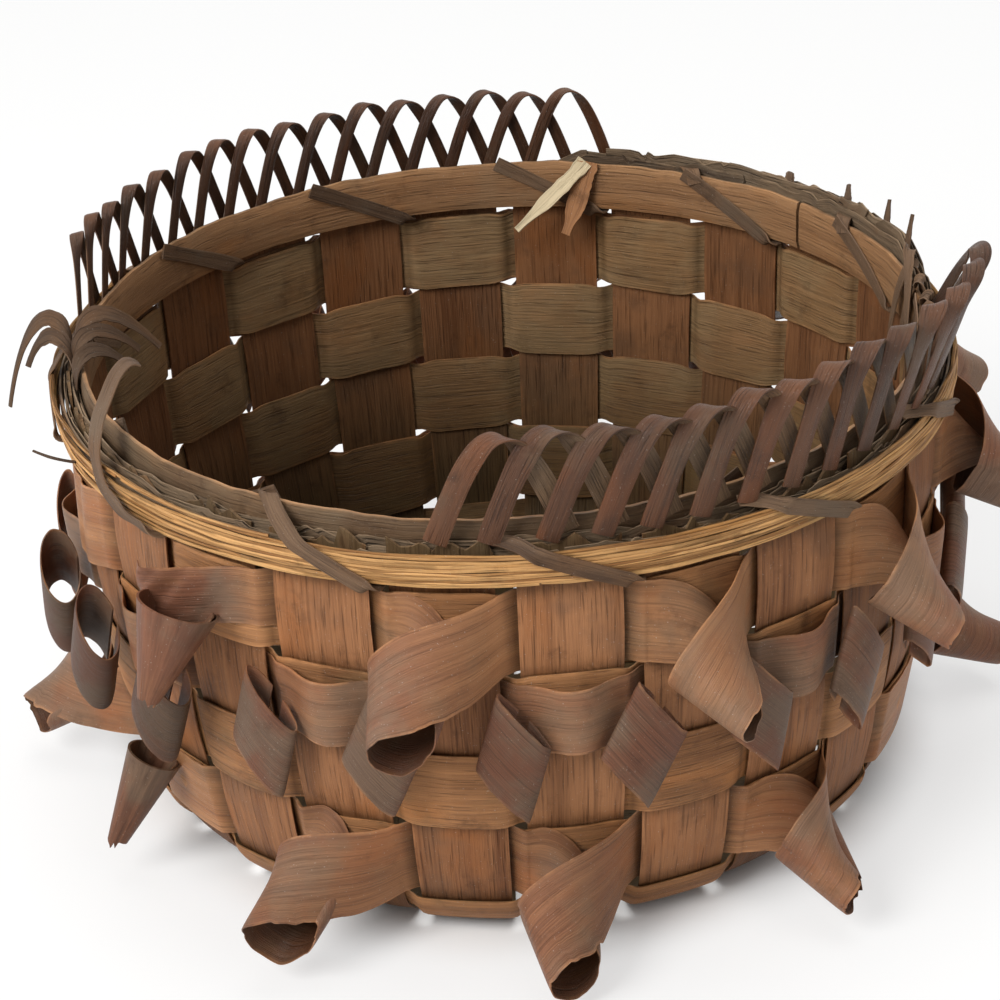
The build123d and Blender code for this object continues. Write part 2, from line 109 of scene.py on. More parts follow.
# %% [markdown]
# ## Words for places round a basket
# A basket is easiest to describe by a radius, an angle and a height.
# The angle starts at the front and grows towards the right hand.
# Every helper takes whole arrays, so a strip is worked out in one go.

# %% Places, directions and seeded wander
UP = np.array([0, 0, 1])


def unit(vectors):
    """Each vector divided by its own length."""
    return vectors / np.maximum(np.linalg.norm(vectors, axis=-1, keepdims=True), 1e-12)


def spot(radius, angle, height):
    """Point at radius times (sine, minus cosine) of the angle, and at the height."""
    turn = np.radians(angle)
    parts = np.broadcast_arrays(radius * np.sin(turn), -radius * np.cos(turn), height)
    return np.stack(parts, axis=-1)


def along(angle):
    """Level direction round the basket: (cosine, sine) of the angle."""
    turn = np.radians(angle)
    return np.stack([np.cos(turn), np.sin(turn), np.zeros_like(turn)], axis=-1)


def outward(angle):
    """Level direction away from the middle of the basket."""
    return spot(1, angle, 0)


def ease(value, low, high):
    """Smooth step: three times the square less two times the cube of the share from low to high."""
    share = np.clip((value - low) / (high - low), 0, 1)
    return share * share * (3 - 2 * share)


def ripple(place, seed, waves=6):
    """Smooth wander of about -1 to 1: sine waves of seeded pace and phase, the quick ones smaller."""
    draw = default_rng(seed)
    order = np.arange(1, waves + 1)
    pace = order * draw.uniform(0.6, 1, waves)
    phase = draw.uniform(0, 2 * np.pi, waves)
    size = order ** -0.7
    wave = np.sin(np.asarray(place)[..., None] * pace * 2 * np.pi + phase)
    return (wave * size).sum(-1) / size.sum() * 1.6


def jagged(place, seed, teeth):
    """Torn line of 0 to 1: straight runs between seeded heights at seeded places."""
    draw = default_rng(seed)
    knots = np.sort(draw.uniform(0, 1, teeth))
    return np.interp(place, knots, draw.uniform(0, 1, teeth))


def apart(angle, other):
    """How far one angle lies from another, from -180 to 180 degrees."""
    return (angle - other + 180) % 360 - 180


def lengths(points):
    """Distance along a line of points from its first one: the running sum of its steps."""
    steps = np.linalg.norm(np.diff(points, axis=0), axis=-1)
    return np.concatenate([[0], np.cumsum(steps)])


def between(place, knots, points):
    """Points at places along a line whose points are known at the knots."""
    return np.stack([np.interp(place, knots, points[:, axis]) for axis in range(3)], -1)


print("half way through an ease:", ease(0.5, 0, 1))

# %% [markdown]
# ## One strip of wood
# Every piece of this basket is a strip, so one helper turns a grid of points into a strip.
# A Solidify modifier could give the thickness, but here the front and back skins are worked
# out straight away, which keeps the grain's own map on both and closes the edges.
# The map runs in metres along and across the strip, so the grain has its true size.

# %% A strip from a grid of points
def sheet(middle, thickness, tone=0.5, wind=0, shade=0, back=None, seed=0, soft=0.5, layer=0):
    """Closed skin round a grid: middle plus and minus half the thickness along the grid's normal.

    Rows run along the strip and columns across it. The normal is the cross product of the two
    gradients of the grid, and the thickness drops by the soft share towards both long edges.
    The marks are tone, nearness to an edge, curl and painted shade; the back skin may have its own last
    two.
    """
    rows, cols = middle.shape[:2]
    count = rows * cols
    run, span = np.gradient(middle, axis=0), np.gradient(middle, axis=1)
    across = np.linspace(-1, 1, cols)
    deep = unit(np.cross(run, span)) * (thickness / 2 * (1 - soft * across ** 8))[None, :, None]
    ids = np.arange(count).reshape(rows, cols)
    front = np.stack([ids[:-1, :-1], ids[1:, :-1], ids[1:, 1:], ids[:-1, 1:]], -1).reshape(-1, 4)
    ring = np.concatenate([ids[:, 0], ids[-1, 1:], ids[-2::-1, -1], ids[0, -2:0:-1]])
    after = np.roll(ring, -1)
    edge = np.stack([after, ring, ring + count, after + count], -1)
    length = lengths(middle[:, cols // 2])
    width = np.linalg.norm(middle[rows // 2, -1] - middle[rows // 2, 0])
    shift = default_rng(seed + 7000).uniform(0, 3, 2)
    grain = np.stack(np.broadcast_arrays(length[:, None] + shift[0], across * width / 2 + shift[1]), -1)
    plain = np.zeros((rows, cols))
    front_marks = np.stack([plain + tone, plain + np.abs(across), plain + wind, plain + shade], -1)
    back_marks = front_marks.copy()
    if back is not None:
        back_marks[..., 2], back_marks[..., 3] = back
    return {
        "points": np.concatenate([(middle + deep).reshape(-1, 3), (middle - deep).reshape(-1, 3)]),
        "quads": np.concatenate([front, front[:, ::-1] + count, edge]),
        "grain": np.tile(grain.reshape(-1, 2), (2, 1)),
        "finish": np.concatenate([front_marks.reshape(-1, 4), back_marks.reshape(-1, 4)]),
        "layer": layer,
    }


def flat_strip(centres, sides, widths, across, cup=0):
    """Grid of a strip: each centre plus its side times the width times -1/2 to 1/2, bowed by the cup."""
    share = np.linspace(-0.5, 0.5, across)
    widths = np.broadcast_to(widths, (len(centres),))
    grid = centres[:, None] + sides[:, None] * (widths[:, None] * share)[..., None]
    face = unit(np.cross(np.gradient(centres, axis=0), sides))
    return grid + face[:, None] * (cup * (1 - 4 * share ** 2))[None, :, None]


def square_sides(centres, sides):
    """Sides with their part along the strip's run taken away, so that the strip isn't sheared."""
    run = unit(np.gradient(centres, axis=0))
    return unit(sides - run * (run * sides).sum(-1, keepdims=True))


print("strip helpers:", sheet.__name__, flat_strip.__name__, square_sides.__name__)

# %% Strips put together into one named piece
crease_angle = np.radians(38)


def piece(name, sheets, finishes, nodes):
    """One mesh from a list of strips: their arrays one after the other, with the ids moved on."""
    starts = np.cumsum([0] + [len(one["points"]) for one in sheets])
    points = np.concatenate([one["points"] for one in sheets])
    quads = np.concatenate([one["quads"] + start for one, start in zip(sheets, starts)])
    grain = np.concatenate([one["grain"] for one in sheets])
    tones = np.concatenate([one["finish"] for one in sheets])
    layers = np.concatenate([np.full(len(one["quads"]), one["layer"]) for one in sheets])
    mesh = bpy.data.meshes.new(name)
    mesh.vertices.add(len(points))
    mesh.vertices.foreach_set("co", points.astype(np.float32).ravel())
    mesh.loops.add(quads.size)
    mesh.loops.foreach_set("vertex_index", quads.astype(np.int32).ravel())
    mesh.polygons.add(len(quads))
    mesh.polygons.foreach_set("loop_start", np.arange(0, quads.size, 4, dtype=np.int32))
    mesh.update(calc_edges=True)
    layer = mesh.uv_layers.new(name="grain")
    layer.data.foreach_set("uv", grain[quads.ravel()].astype(np.float32).ravel())
    marks = mesh.attributes.new("finish", "FLOAT_COLOR", "POINT")
    marks.data.foreach_set("color", tones.astype(np.float32).ravel())
    mesh.shade_smooth()
    mesh.set_sharp_from_angle(angle=crease_angle)
    for finish in finishes:
        mesh.materials.append(finish)
    mesh.polygons.foreach_set("material_index", layers.astype(np.int32))
    made = put(name, mesh)
    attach(made, "root")
    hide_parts(*nodes)
    print(name, "has", len(sheets), "strips and", 2 * len(quads), "triangles")


print("edges are sharp over", round(np.degrees(crease_angle)), "degrees")

# %% [markdown]
# ## A finish for split wood
# Split wood shows long fibres, dark pores, slow stains and pale worn edges.
# Each of them is a noise texture that is stretched along the strip by a Mapping node.
# The strip's own marks give its tone, how near a point is to an edge, how far it is curled, and its
# painted shade.

# %% Short words for adding nodes
def node_words(tree):
    """Four words for one node tree: feed a socket, add a node, a sum of two values, a smooth step."""
    def feed(socket, value):
        if isinstance(value, bpy.types.NodeSocket):
            tree.links.new(value, socket)
        else:
            socket.default_value = value + (1,) if socket.type == "RGBA" else value

    def add(kind, inputs=(), **settings):
        made = tree.nodes.new(kind)
        for key, value in settings.items():
            setattr(made, key, value)
        for key, value in dict(inputs).items():
            feed(made.inputs[key], value)
        return made

    def math(kind, first, second, clamp=False):
        return add("ShaderNodeMath", {0: first, 1: second}, operation=kind, use_clamp=clamp).outputs[0]

    def spread(value, low, high, to_low=0, to_high=1):
        inputs = enumerate((value, low, high, to_low, to_high))
        return add("ShaderNodeMapRange", inputs, interpolation_type="SMOOTHSTEP").outputs[0]

    return feed, add, math, spread


def painted(name):
    """New material with nodes, its node tree and its shader."""
    made = bpy.data.materials.new(name)
    made.use_nodes = True
    return made, made.node_tree, made.node_tree.nodes["Principled BSDF"]


print("node helpers:", node_words.__name__, painted.__name__)

# %% The wood finish as nodes
mote_colour = (0.55, 0.5, 0.44)
shade_colour = (0.18, 0.153, 0.083)
dim_fibre, bright_fibre = (0.5, 0.5, 0.5), (1.5, 1.5, 1.5)


def scaled(colour, by):
    """Colour with each part times one number, none over 0.9."""
    return tuple(min(part * by, 0.9) for part in colour)


def wood_finish(name, pale, deep, warm, cool, curled=(0.19, 0.085, 0.055), second_tint_and_sheen=(0.20, 0.145, 0.10),
                rough=(0.46, 0.72), fibre=1400, bump=0.7, pores=0.5, worn=0.35, dust=0.3, gloss=0.22):
    """Colour from deep to pale by streaks and fibres, with warm and cool patches.

    Where the curl mark is high the colour goes to a blotchy mix of the curled tint and the second tint.
    On the ribbons the second tint is partly a painted reflection; on the loops both tints are painted
    light on the inner legs, and on the other pieces they are plain tints of the wood.
    The shade mark is painted shade: it darkens the wood where it is seen inside the basket
    or under other strips.
    """
    finish, tree, shader = painted(name)
    feed, add, math, spread = node_words(tree)

    def noise(source, scale, detail, roughness=0.55):
        place = add("ShaderNodeMapping", {"Vector": source, "Scale": scale}).outputs[0]
        inputs = {"Vector": place, "Scale": 1, "Detail": detail, "Roughness": roughness}
        return add("ShaderNodeTexNoise", inputs).outputs[0]

    def mix(share, first, second, kind="MIX"):
        inputs = {0: share, 6: first, 7: second}
        return add("ShaderNodeMix", inputs, data_type="RGBA", blend_type=kind).outputs[2]

    dark, light = scaled(deep, 0.33), scaled(pale, 1.6)
    grain = add("ShaderNodeUVMap", uv_map="grain").outputs[0]
    body = add("ShaderNodeTexCoord").outputs["Object"]
    marks = add("ShaderNodeAttribute", attribute_name="finish")
    tone, edge, wind = add("ShaderNodeSeparateColor", {0: marks.outputs["Color"]}).outputs
    shade = marks.outputs["Alpha"]

    fibres = noise(grain, (28, fibre * 1.4, 1), 5, 0.75)
    streaks = noise(grain, (5, fibre * 0.15, 1), 3, 0.6)
    lines = noise(grain, (20, fibre * 0.55, 1), 2)
    patch = noise(grain, (24, 60, 1), 4, 0.62)
    blotch = noise(body, (42, 42, 42), 4, 0.6)
    pits = noise(grain, (75, fibre * 1.6, 1), 1)
    motes = noise(body, (2600, 2600, 2600), 0)
    stain = noise(body, (95, 95, 95), 5, 0.68)

    share = math("ADD", math("MULTIPLY", streaks, 0.8), math("MULTIPLY", fibres, 1.1))
    share = math("ADD", share, math("MULTIPLY", tone, 0.6))
    colour = mix(spread(share, 0.82, 1.62), deep, pale)
    colour = mix(spread(patch, 0.50, 0.68, 0, 0.75), colour, warm)
    colour = mix(spread(blotch, 0.52, 0.70, 0, 0.7), colour, cool)
    # Second tint: partly a painted reflection on the ribbons, painted light on the inner legs of the
    # loops.
    rolled = mix(spread(blotch, 0.42, 0.60), curled, second_tint_and_sheen)
    contrast = mix(spread(fibres, 0.25, 0.75), dim_fibre, bright_fibre)
    rolled = mix(0.75, rolled, contrast, "MULTIPLY")
    colour = mix(math("MULTIPLY", wind, spread(patch, 0.3, 0.5, 0.65, 1), True), colour, rolled)
    colour = mix(spread(lines, 0.56, 0.76, 0, 0.42), colour, dark)
    colour = mix(spread(stain, 0.54, 0.80, 0, 0.6), colour, dark)
    pitted = math("MULTIPLY", spread(pits, 0.58, 0.72), pores)
    colour = mix(pitted, colour, dark)
    rubbed = math("MULTIPLY", spread(edge, 0.9, 1), spread(stain, 0.35, 0.6, worn, 0))
    colour = mix(rubbed, colour, light)
    colour = mix(math("MULTIPLY", spread(motes, 0.78, 0.84), dust), colour, mote_colour)
    # Painted shade: the shade mark multiplies the colour towards a dark olive brown.
    colour = mix(shade, colour, shade_colour, "MULTIPLY")
    feed(shader.inputs["Base Color"], colour)
    feed(shader.inputs["Roughness"], spread(fibres, 0.3, 0.7, rough[0], rough[1]))
    feed(shader.inputs["Specular IOR Level"], gloss)

    relief = math("ADD", math("MULTIPLY", fibres, 1.1), math("MULTIPLY", streaks, 0.2))
    relief = math("SUBTRACT", relief, pitted)
    relief = math("SUBTRACT", relief, math("MULTIPLY", spread(lines, 0.57, 0.76), 0.3))
    lift = add("ShaderNodeBump", {"Strength": bump, "Distance": 0.0006, "Height": relief})
    feed(shader.inputs["Normal"], lift.outputs[0])
    print("finish", name, "has", len(tree.nodes), "nodes")
    return finish


upright_wood = wood_finish("upright_wood", (0.40, 0.18, 0.078), (0.145, 0.052, 0.019), (0.33, 0.122, 0.04),
                           (0.21, 0.102, 0.052), (0.20, 0.15, 0.08), (0.165, 0.13, 0.075), pores=0.45)
weaver_wood = wood_finish("weaver_wood", (0.52, 0.245, 0.10), (0.19, 0.08, 0.031), (0.44, 0.18, 0.06),
                          (0.24, 0.128, 0.055), (0.29, 0.165, 0.072), (0.32, 0.205, 0.10))
# Ribbons: the curled tint, then a grey that is partly a painted reflection.
curl_wood = wood_finish("curl_wood", (0.46, 0.218, 0.094), (0.18, 0.074, 0.033), (0.36, 0.132, 0.047),
                        (0.22, 0.128, 0.07), (0.19, 0.077, 0.044), (0.185, 0.115, 0.077),
                        rough=(0.36, 0.58), fibre=1900, bump=0.5, pores=0.3, worn=0.4, dust=0.4)
hoop_wood = wood_finish("hoop_wood", (0.44, 0.235, 0.107), (0.20, 0.094, 0.041), (0.37, 0.165, 0.06),
                        (0.29, 0.168, 0.085), (0.15, 0.105, 0.068), (0.21, 0.162, 0.11),
                        fibre=1200, bump=0.75, pores=0.45)
filler_wood = wood_finish("filler_wood", (0.29, 0.20, 0.122), (0.05, 0.029, 0.017), (0.19, 0.098, 0.048),
                          (0.205, 0.154, 0.104), fibre=1000, bump=1.1, pores=0.8)
band_wood = wood_finish("band_wood", (0.68, 0.375, 0.145), (0.26, 0.115, 0.036), (0.56, 0.27, 0.082),
                        (0.48, 0.31, 0.135), fibre=2600, pores=0.6, worn=0.2)
lash_wood = wood_finish("lash_wood", (0.22, 0.132, 0.076), (0.075, 0.04, 0.022), (0.18, 0.09, 0.042),
                        (0.165, 0.115, 0.076), fibre=1800, worn=0.15)
# Loops: the last two colours are paler tints, painted light on the inner legs.
loop_wood = wood_finish("loop_wood", (0.145, 0.06, 0.027), (0.055, 0.022, 0.010), (0.15, 0.05, 0.017),
                        (0.11, 0.064, 0.036), (0.23, 0.135, 0.072), (0.20, 0.128, 0.075),
                        rough=(0.30, 0.50), fibre=1800, worn=0.1, dust=0.25, gloss=0.3)
straw_wood = wood_finish("straw_wood", (0.76, 0.62, 0.40), (0.45, 0.33, 0.18), (0.62, 0.44, 0.22),
                         (0.55, 0.46, 0.30), worn=0.1)

# %% [markdown]
# ## Sizes shared by the whole basket
# The frame holds finished shapes, not the numbers behind them, so the driving sizes are
# written here again, in metres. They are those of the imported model.

# %% Sizes of the wall
splint = 0.0008
weave_gap = 0.0002
step_angle = 15
half_upright = 6.25
base_radius = 0.086
turn_radius = 0.017
flare = 0.0084
row_pitch = 0.0225
row_width = 0.022
lash_hole = 0.0026
upright_stub = 0.0105
wall_height = 4 * row_pitch
turn_angle = np.degrees(np.arctan2(wall_height, 2 * flare))
turn_top = splint / 2 + turn_radius * (1 - np.cos(np.radians(turn_angle)))
turn_reach = base_radius + turn_radius * np.sin(np.radians(turn_angle))
wall_top = turn_top + wall_height
rim_floor = wall_top + lash_hole
upright_top = wall_top + upright_stub
over = splint + weave_gap


def wall_radius(height):
    """Radius of the uprights: the reach of the turn plus a flare that dies away with height."""
    share = np.clip((height - turn_top) / wall_height, 0, 1)
    return turn_reach + flare * (1 - (1 - share) ** 2)


print("wall from", round(turn_top, 4), "to", round(wall_top, 4))

# %% [markdown]
# ## Uprights and base
# Twelve strips cross under the basket and turn up into twenty-four uprights.
# A curve with a bevel could make each of them, but the strip must grow wider up the flared wall.
# So one angle across the strip is used from the base to the rim, and the strip fans out by itself.
# The cut tops are torn, and each upright leans in and out a little between the weavers.

# %% Strips of the base, turned up at both ends
lane_angles = (np.arange(6) - 2.5) * step_angle
lane_low = base_radius * np.sin(np.radians(lane_angles - half_upright))
lane_high = base_radius * np.sin(np.radians(lane_angles + half_upright))
lane_last = np.radians(lane_angles[-1] + half_upright)
lane_lead = 0.85 * base_radius * (np.cos(lane_last) - np.sin(lane_last))
arc = np.radians(np.linspace(0, turn_angle, 14))
torn_spare = 0.004
rise = np.linspace(turn_top, upright_top + torn_spare, 76)[1:]
profile_radius = np.concatenate([base_radius + turn_radius * np.sin(arc), wall_radius(rise)])
profile_height = np.concatenate([splint / 2 + turn_radius * (1 - np.cos(arc)), rise])
profile_length = lengths(np.stack([profile_radius, profile_height], -1))


def base_height(place, raised):
    """Height along a base strip: over or under each lane, with a smooth step between two lanes."""
    lanes = np.stack([lane_low, lane_high], 1).ravel()
    knots = np.concatenate([[-base_radius, lanes[0] - lane_lead], lanes,
                            [lanes[-1] + lane_lead, base_radius]])
    levels = np.concatenate([[0, 0], np.repeat(np.where(raised, over, 0), 2), [0, 0]])
    at = np.clip(np.searchsorted(knots, place) - 1, 0, len(knots) - 2)
    share = ease(place, knots[at], knots[at + 1])
    return splint / 2 + levels[at] * (1 - share) + levels[at + 1] * share


def weave_wave(height):
    """Sine that is 0 where two weavers meet and 1 or -1 half way up each of the four."""
    return np.sin(np.pi * np.clip((wall_top - height) / row_pitch, 0, 4))


def splint_sheet(index, crosswise):
    """Base strip from -1 to 1 across the disc, then the wall profile at the same angle at both ends."""
    sway, torn_depth = 0.00045, 0.0055
    lane = lane_angles[index]
    fan = np.radians(lane + half_upright * np.linspace(-1, 1, 17))
    raised = (index + np.arange(6)) % 2 == (0 if crosswise else 1)
    seed = index + (0 if crosswise else 40)
    angles = (90 + lane, -90 - lane) if crosswise else (180 - lane, lane)
    strips = []
    for end, angle in zip((1, -1), angles):
        parity = 1 if round(angle / step_angle - 0.5) % 2 == 0 else -1
        torn = jagged(np.linspace(0, 1, 17), seed + 3 * end + 500, 13) ** 0.7 * torn_depth
        length = np.linspace(0, 1, 84)[:, None] * (profile_length[-1] - torn)
        height = np.interp(length, profile_length, profile_height)
        radius = np.interp(length, profile_length, profile_radius) + parity * sway * weave_wave(height)
        strips.append(np.stack([end * radius * np.cos(fan), radius * np.sin(fan), height], -1))
    run = np.linspace(-1, 1, 90)[1:-1, None] * base_radius * np.cos(fan)
    flat = np.stack([run, base_radius * np.sin(fan) + 0 * run, base_height(run, raised)], -1)
    grid = np.concatenate([strips[1][::-1], flat, strips[0]])
    if not crosswise:
        grid = grid[..., [1, 0, 2]]
    tone = default_rng(seed + 90).uniform(0.2, 0.8)
    height = grid[..., 2]
    # Painted shade: the inside darker towards the bottom; the outside darker where two weavers meet, near
    # the floor and on the torn tops.
    inner = np.where(height > wall_top, 0.25, 0.42 + 0.52 * (1 - ease(height, 0.005, 0.09)))
    outer = 0.55 * (1 - np.abs(weave_wave(height))) ** 4 + 0.2 * (1 - ease(height, 0, 0.03))
    at_rim = ease(height, rim_floor, rim_floor + 0.004)
    olive = 0.8 * (1 - ease(height, 0, 0.08)) + 0.6 * at_rim
    within, without = (olive, inner), (0.7 * at_rim, outer)
    front, rear = (within, without) if crosswise else (without, within)
    return sheet(grid, splint, tone, wind=front[0], shade=front[1], back=rear, seed=seed)


for number in range(6):
    for way in ("across", "along"):
        label = "%s_%d" % (way, number + 1)
        piece("upright_strip_" + label, [splint_sheet(number, way == "across")], [upright_wood],
              ["splint_" + label])

# %% [markdown]
# ## Weavers
# A weaver goes round the wall, outside one upright and inside the next.
# A Curve modifier could bend a straight strip round the wall, but the in and out is easier to
# write as a sine that turns over in the gap between two uprights. At each gap the weaver is
# pulled in a little, and that opens the small holes that let light through at the corners.

# %% Four weavers and the foot
round_trip = np.linspace(0.06, 359.94, 481)[:, None]


def weave_phase(angle, parity):
    """1 outside an upright and -1 inside one, with a quarter sine each way in the gap between."""
    place = angle / step_angle - 0.5
    local = np.abs(place - np.round(place))
    sign = np.where(np.round(place) % 2 == parity, 1, -1)
    return sign * np.sin(np.pi / 2 * np.minimum((0.5 - local) / 0.09, 1)), local


def weaver_sheet(row, parity, inside, seed):
    """Radius of the wall plus the weave's in and out, and heights pinched in at each gap."""
    pinch, swell_out, swell_in = 0.0010, 0.0007, 0.0009
    angle = 172.5 + (0 if parity == 1 else 15) + round_trip
    across = np.linspace(-1, 1, 9)
    phase, local = weave_phase(angle, parity)
    half = row_width / 2 - pinch * np.exp(-((0.5 - local) / 0.11) ** 2)
    half = half + 0.0003 * ripple(angle / 60, seed)
    height = wall_top - (row + 0.5) * row_pitch + across * half + 0.0004 * ripple(angle / 90, seed + 1)
    swell = np.cos(np.pi * local) ** 2 * (1 - 0.5 * across ** 2)
    offset = np.where(phase > 0, over + swell_out * swell, -inside - swell_in * swell)
    offset = (over - inside) / 2 + (offset - (over - inside) / 2) * np.abs(phase)
    grid = spot(wall_radius(height) + offset, angle, height)
    tone = default_rng(seed).uniform(0.15, 0.85, 24)[np.round(angle / step_angle).astype(int) % 24]
    # Painted light: the third and fourth weavers are paler at these two angles.
    for sunny in (67.5, -52.5) if row > 1 else ():
        tone = tone + 0.9 * (np.abs(apart(angle, sunny)) < step_angle / 2)
    # Painted shade: darker in the gaps where the weaver crosses between uprights; the inner face also
    # darker towards the bottom.
    gap_shade = 0.55 * (1 - np.abs(phase))
    depth = 0.18 + 0.72 * (1 - ease(height, 0.012, 0.098))
    return sheet(grid, splint, tone, shade=gap_shade, back=(0.9, np.maximum(gap_shade, depth)), seed=seed)


def foot_sheet(seed):
    """Weave that follows the turn: the turn's radius plus the in and out, at 40 to 74 degrees."""
    angle = 172.5 + round_trip
    turn = np.radians(np.linspace(40, 74, 7))
    phase, local = weave_phase(angle, 1)
    offset = np.where(phase > 0, over + weave_gap, -over) * np.abs(phase)
    radius = base_radius + (turn_radius + offset) * np.sin(turn)
    height = splint / 2 + turn_radius - (turn_radius + offset) * np.cos(turn)
    # Painted shade: the inner face much darker, the outer face a little.
    return sheet(spot(radius, angle, height), splint, 0.35, shade=0.15, back=(0.9, 0.8), seed=seed)


rows = []
for number in range(4):
    top = wall_top - number * row_pitch - (row_pitch - row_width) / 2
    low = top - row_width
    rows.append(((wall_radius(top) + wall_radius(low)) / 2, (top + low) / 2,
                 (wall_radius(top) - wall_radius(low)) / row_width))
    inside = over if number == 2 else over + splint
    piece("weaver_round_%d" % (number + 1), [weaver_sheet(number, 1 - number % 2, inside, 20 + number)],
          [weaver_wood], ["weaver_%d" % (number + 1)])
piece("weaver_round_foot", [foot_sheet(31)], [weaver_wood], ["weaver_foot"])

# %% [markdown]
# ## Curled ribbons
# A ribbon comes out from under an upright, winds once round a slanting axis and goes in again
# under the next upright. That leaves a tube whose open end stands out like a quill. Worn ones
# are pressed flat, and one is split into a torn tongue and a rolled cone.
# A bent curve could be drawn by hand for each one. A formula is better here: the flat run on
# the wall and the winding round the axis are blended, and each curl gets its own size and lean.

# %% The winding of one curl
ribbon = 0.0006
ribbon_width = 0.022
butt_gap = 0.0003
ribbon_lift = splint * 1.5 + ribbon / 2 + 2 * weave_gap
tuck_depth = (splint + ribbon) / 2 + weave_gap


def wall_side(angle, slope):
    """Direction up the wall: upward plus outward times the wall's slope."""
    return unit(outward(angle) * slope + UP)


def wall_run(centre, row, steps):
    """Ribbon on the wall from the middle of one upright to the next but one: in, up and over, in.

    The share goes from 0 to 1 between the edges of the upright that it crosses, and a little past both.
    """
    radius, height, slope = row
    butt = np.degrees(butt_gap / 2 / wall_radius(wall_top))
    past = (step_angle - butt - half_upright) / (2 * half_upright)
    share = np.concatenate([np.linspace(-past, -0.2, 8)[:-1], np.linspace(-0.2, 1.2, steps),
                            np.linspace(1.2, 1 + past, 8)[1:]])
    angle = centre + half_upright * (1 - 2 * share)
    lift = ease(share, -0.2, 0) * (1 - ease(share, 1, 1.2))
    flat = spot(radius - tuck_depth + (ribbon_lift + tuck_depth) * lift, angle, height)
    return share, flat, wall_side(angle, slope), lift


def curl_sheet(centre, row, out, drop, shape, seed):
    """Blend of the run on the wall with a winding: hub plus front and left times cosine and sine.

    The winding keeps its place on the axis for the outer turn and then moves back towards the wall.
    The shape holds shares of the size, reach and drop, two angles, the share that is wound, a step
    aside in millimetres, the flare of the edge and the share of the colour of a curl.
    """
    size, out_share, drop_share, tilt, lean, wound_share, aside, flare, tint = shape
    radius, height = row[:2]
    right, away = along(centre), outward(centre)
    tilt, lean = np.radians(tilt), np.radians(lean)
    front = away * np.cos(tilt) + UP * np.sin(tilt)
    down = away * np.sin(tilt) - UP * np.cos(tilt)
    axis = unit(down * np.cos(lean) + right * np.sin(lean))
    left = unit(np.cross(front, axis))
    left = left * -np.sign(left @ right)
    hub = spot(radius + out * out_share, centre, height - drop * drop_share) - right * aside * 0.001
    share, flat, up_wall, lift = wall_run(centre, row, 200)
    turn = np.radians(-80 + 480 * share)[:, None]
    ray = front * np.cos(turn) + left * np.sin(turn)
    reach = (0.010 - 0.003 * share) * size * (1 + 0.035 * ripple(share * 1.3, seed))
    shift = (0.005 - 0.016 * ease(share, 0.60, 0.97)) * size
    wound = hub + ray * reach[:, None] + axis * shift[:, None]
    weight = (ease(share, -0.06, 0.33) * (1 - ease(share, 0.69, 1)) * wound_share)[:, None]
    centres = flat * (1 - weight) + wound * weight
    sides = unit(up_wall * (1 - weight) + (ray * flare - axis) * weight)
    squared = (0.85 * ease(share, 0, 0.14) * (1 - ease(share, 0.28, 0.42)) * wound_share)[:, None]
    run = unit(np.gradient(centres, axis=0))
    sides = unit(sides - run * (run * sides).sum(-1, keepdims=True) * squared)
    lip = ease(share, 0.08, 0.16) * (1 - ease(share, 0.34, 0.42))
    scroll = ease(share, 0.52, 0.62) * (1 - ease(share, 0.9, 1))
    torn_lip = 0.0014 * jagged(share, seed, 60) + 0.0016 * jagged(share, seed + 1, 22) ** 3
    torn_scroll = 0.003 * jagged(share, seed + 2, 34) + 0.002
    torn = (0.00015 * ripple(share * 3, seed) + lip * torn_lip + scroll * torn_scroll) * weight[:, 0]
    fray = 0.00015 * ripple(share * 4, seed + 5) * lift
    across = np.linspace(-0.5, 0.5, 15)
    wide = ribbon_width - 2 * np.where(across < 0, torn[:, None], fray[:, None])
    grid = centres[:, None] + sides[:, None] * (wide * across)[..., None]
    curl = tint * weight * np.clip(0.95 - 0.15 * across, 0, 1)
    # Painted shade: darker where the ribbon is tucked under an upright, and inside the wound tube.
    tucked_shade = 0.75 * (1 - lift)[:, None]
    inner = np.maximum(tucked_shade, 0.7 * weight)
    tone = default_rng(seed).uniform(0.25, 0.8)
    return sheet(grid, ribbon, tone, wind=curl, shade=inner, back=(curl, tucked_shade), seed=seed)


def tongue_sheet(centre, row, cut, reach, rise, droop, seed):
    """Upper part of a split ribbon: the run on the wall, lifted outward, with a ragged end."""
    across = np.linspace(cut[0], cut[1], 17)
    share, flat, up_wall, lift = wall_run(centre, row, 200)
    torn_end = reach - 0.12 * jagged(np.linspace(0, 1, 17), seed, 9)
    place = np.linspace(0, 1, 110)[:, None] * (torn_end - share[0]) + share[0]
    path, side = between(place, share, flat), between(place, share, up_wall)
    way = outward(centre + half_upright * (1 - 2 * place))
    loose = ease(place, 0, 1.2)[..., None]
    buckle = 0.0007 * ripple(place * 1.4 + across, seed + 1)[..., None] * loose
    grid = path + side * (ribbon_width * across)[None, :, None]
    grid = grid + way * (loose * rise + buckle) - UP * loose * droop
    # Painted shade where the start of the ribbon is tucked under the upright.
    tucked_shade = 0.75 * (1 - np.interp(place, share, lift)) * (place < 0.5)
    curl = 0.95 * ease(place, -0.1, 0.4)
    return sheet(grid, ribbon, 0.45, wind=0.8, shade=0.3, back=(curl, tucked_shade), seed=seed)


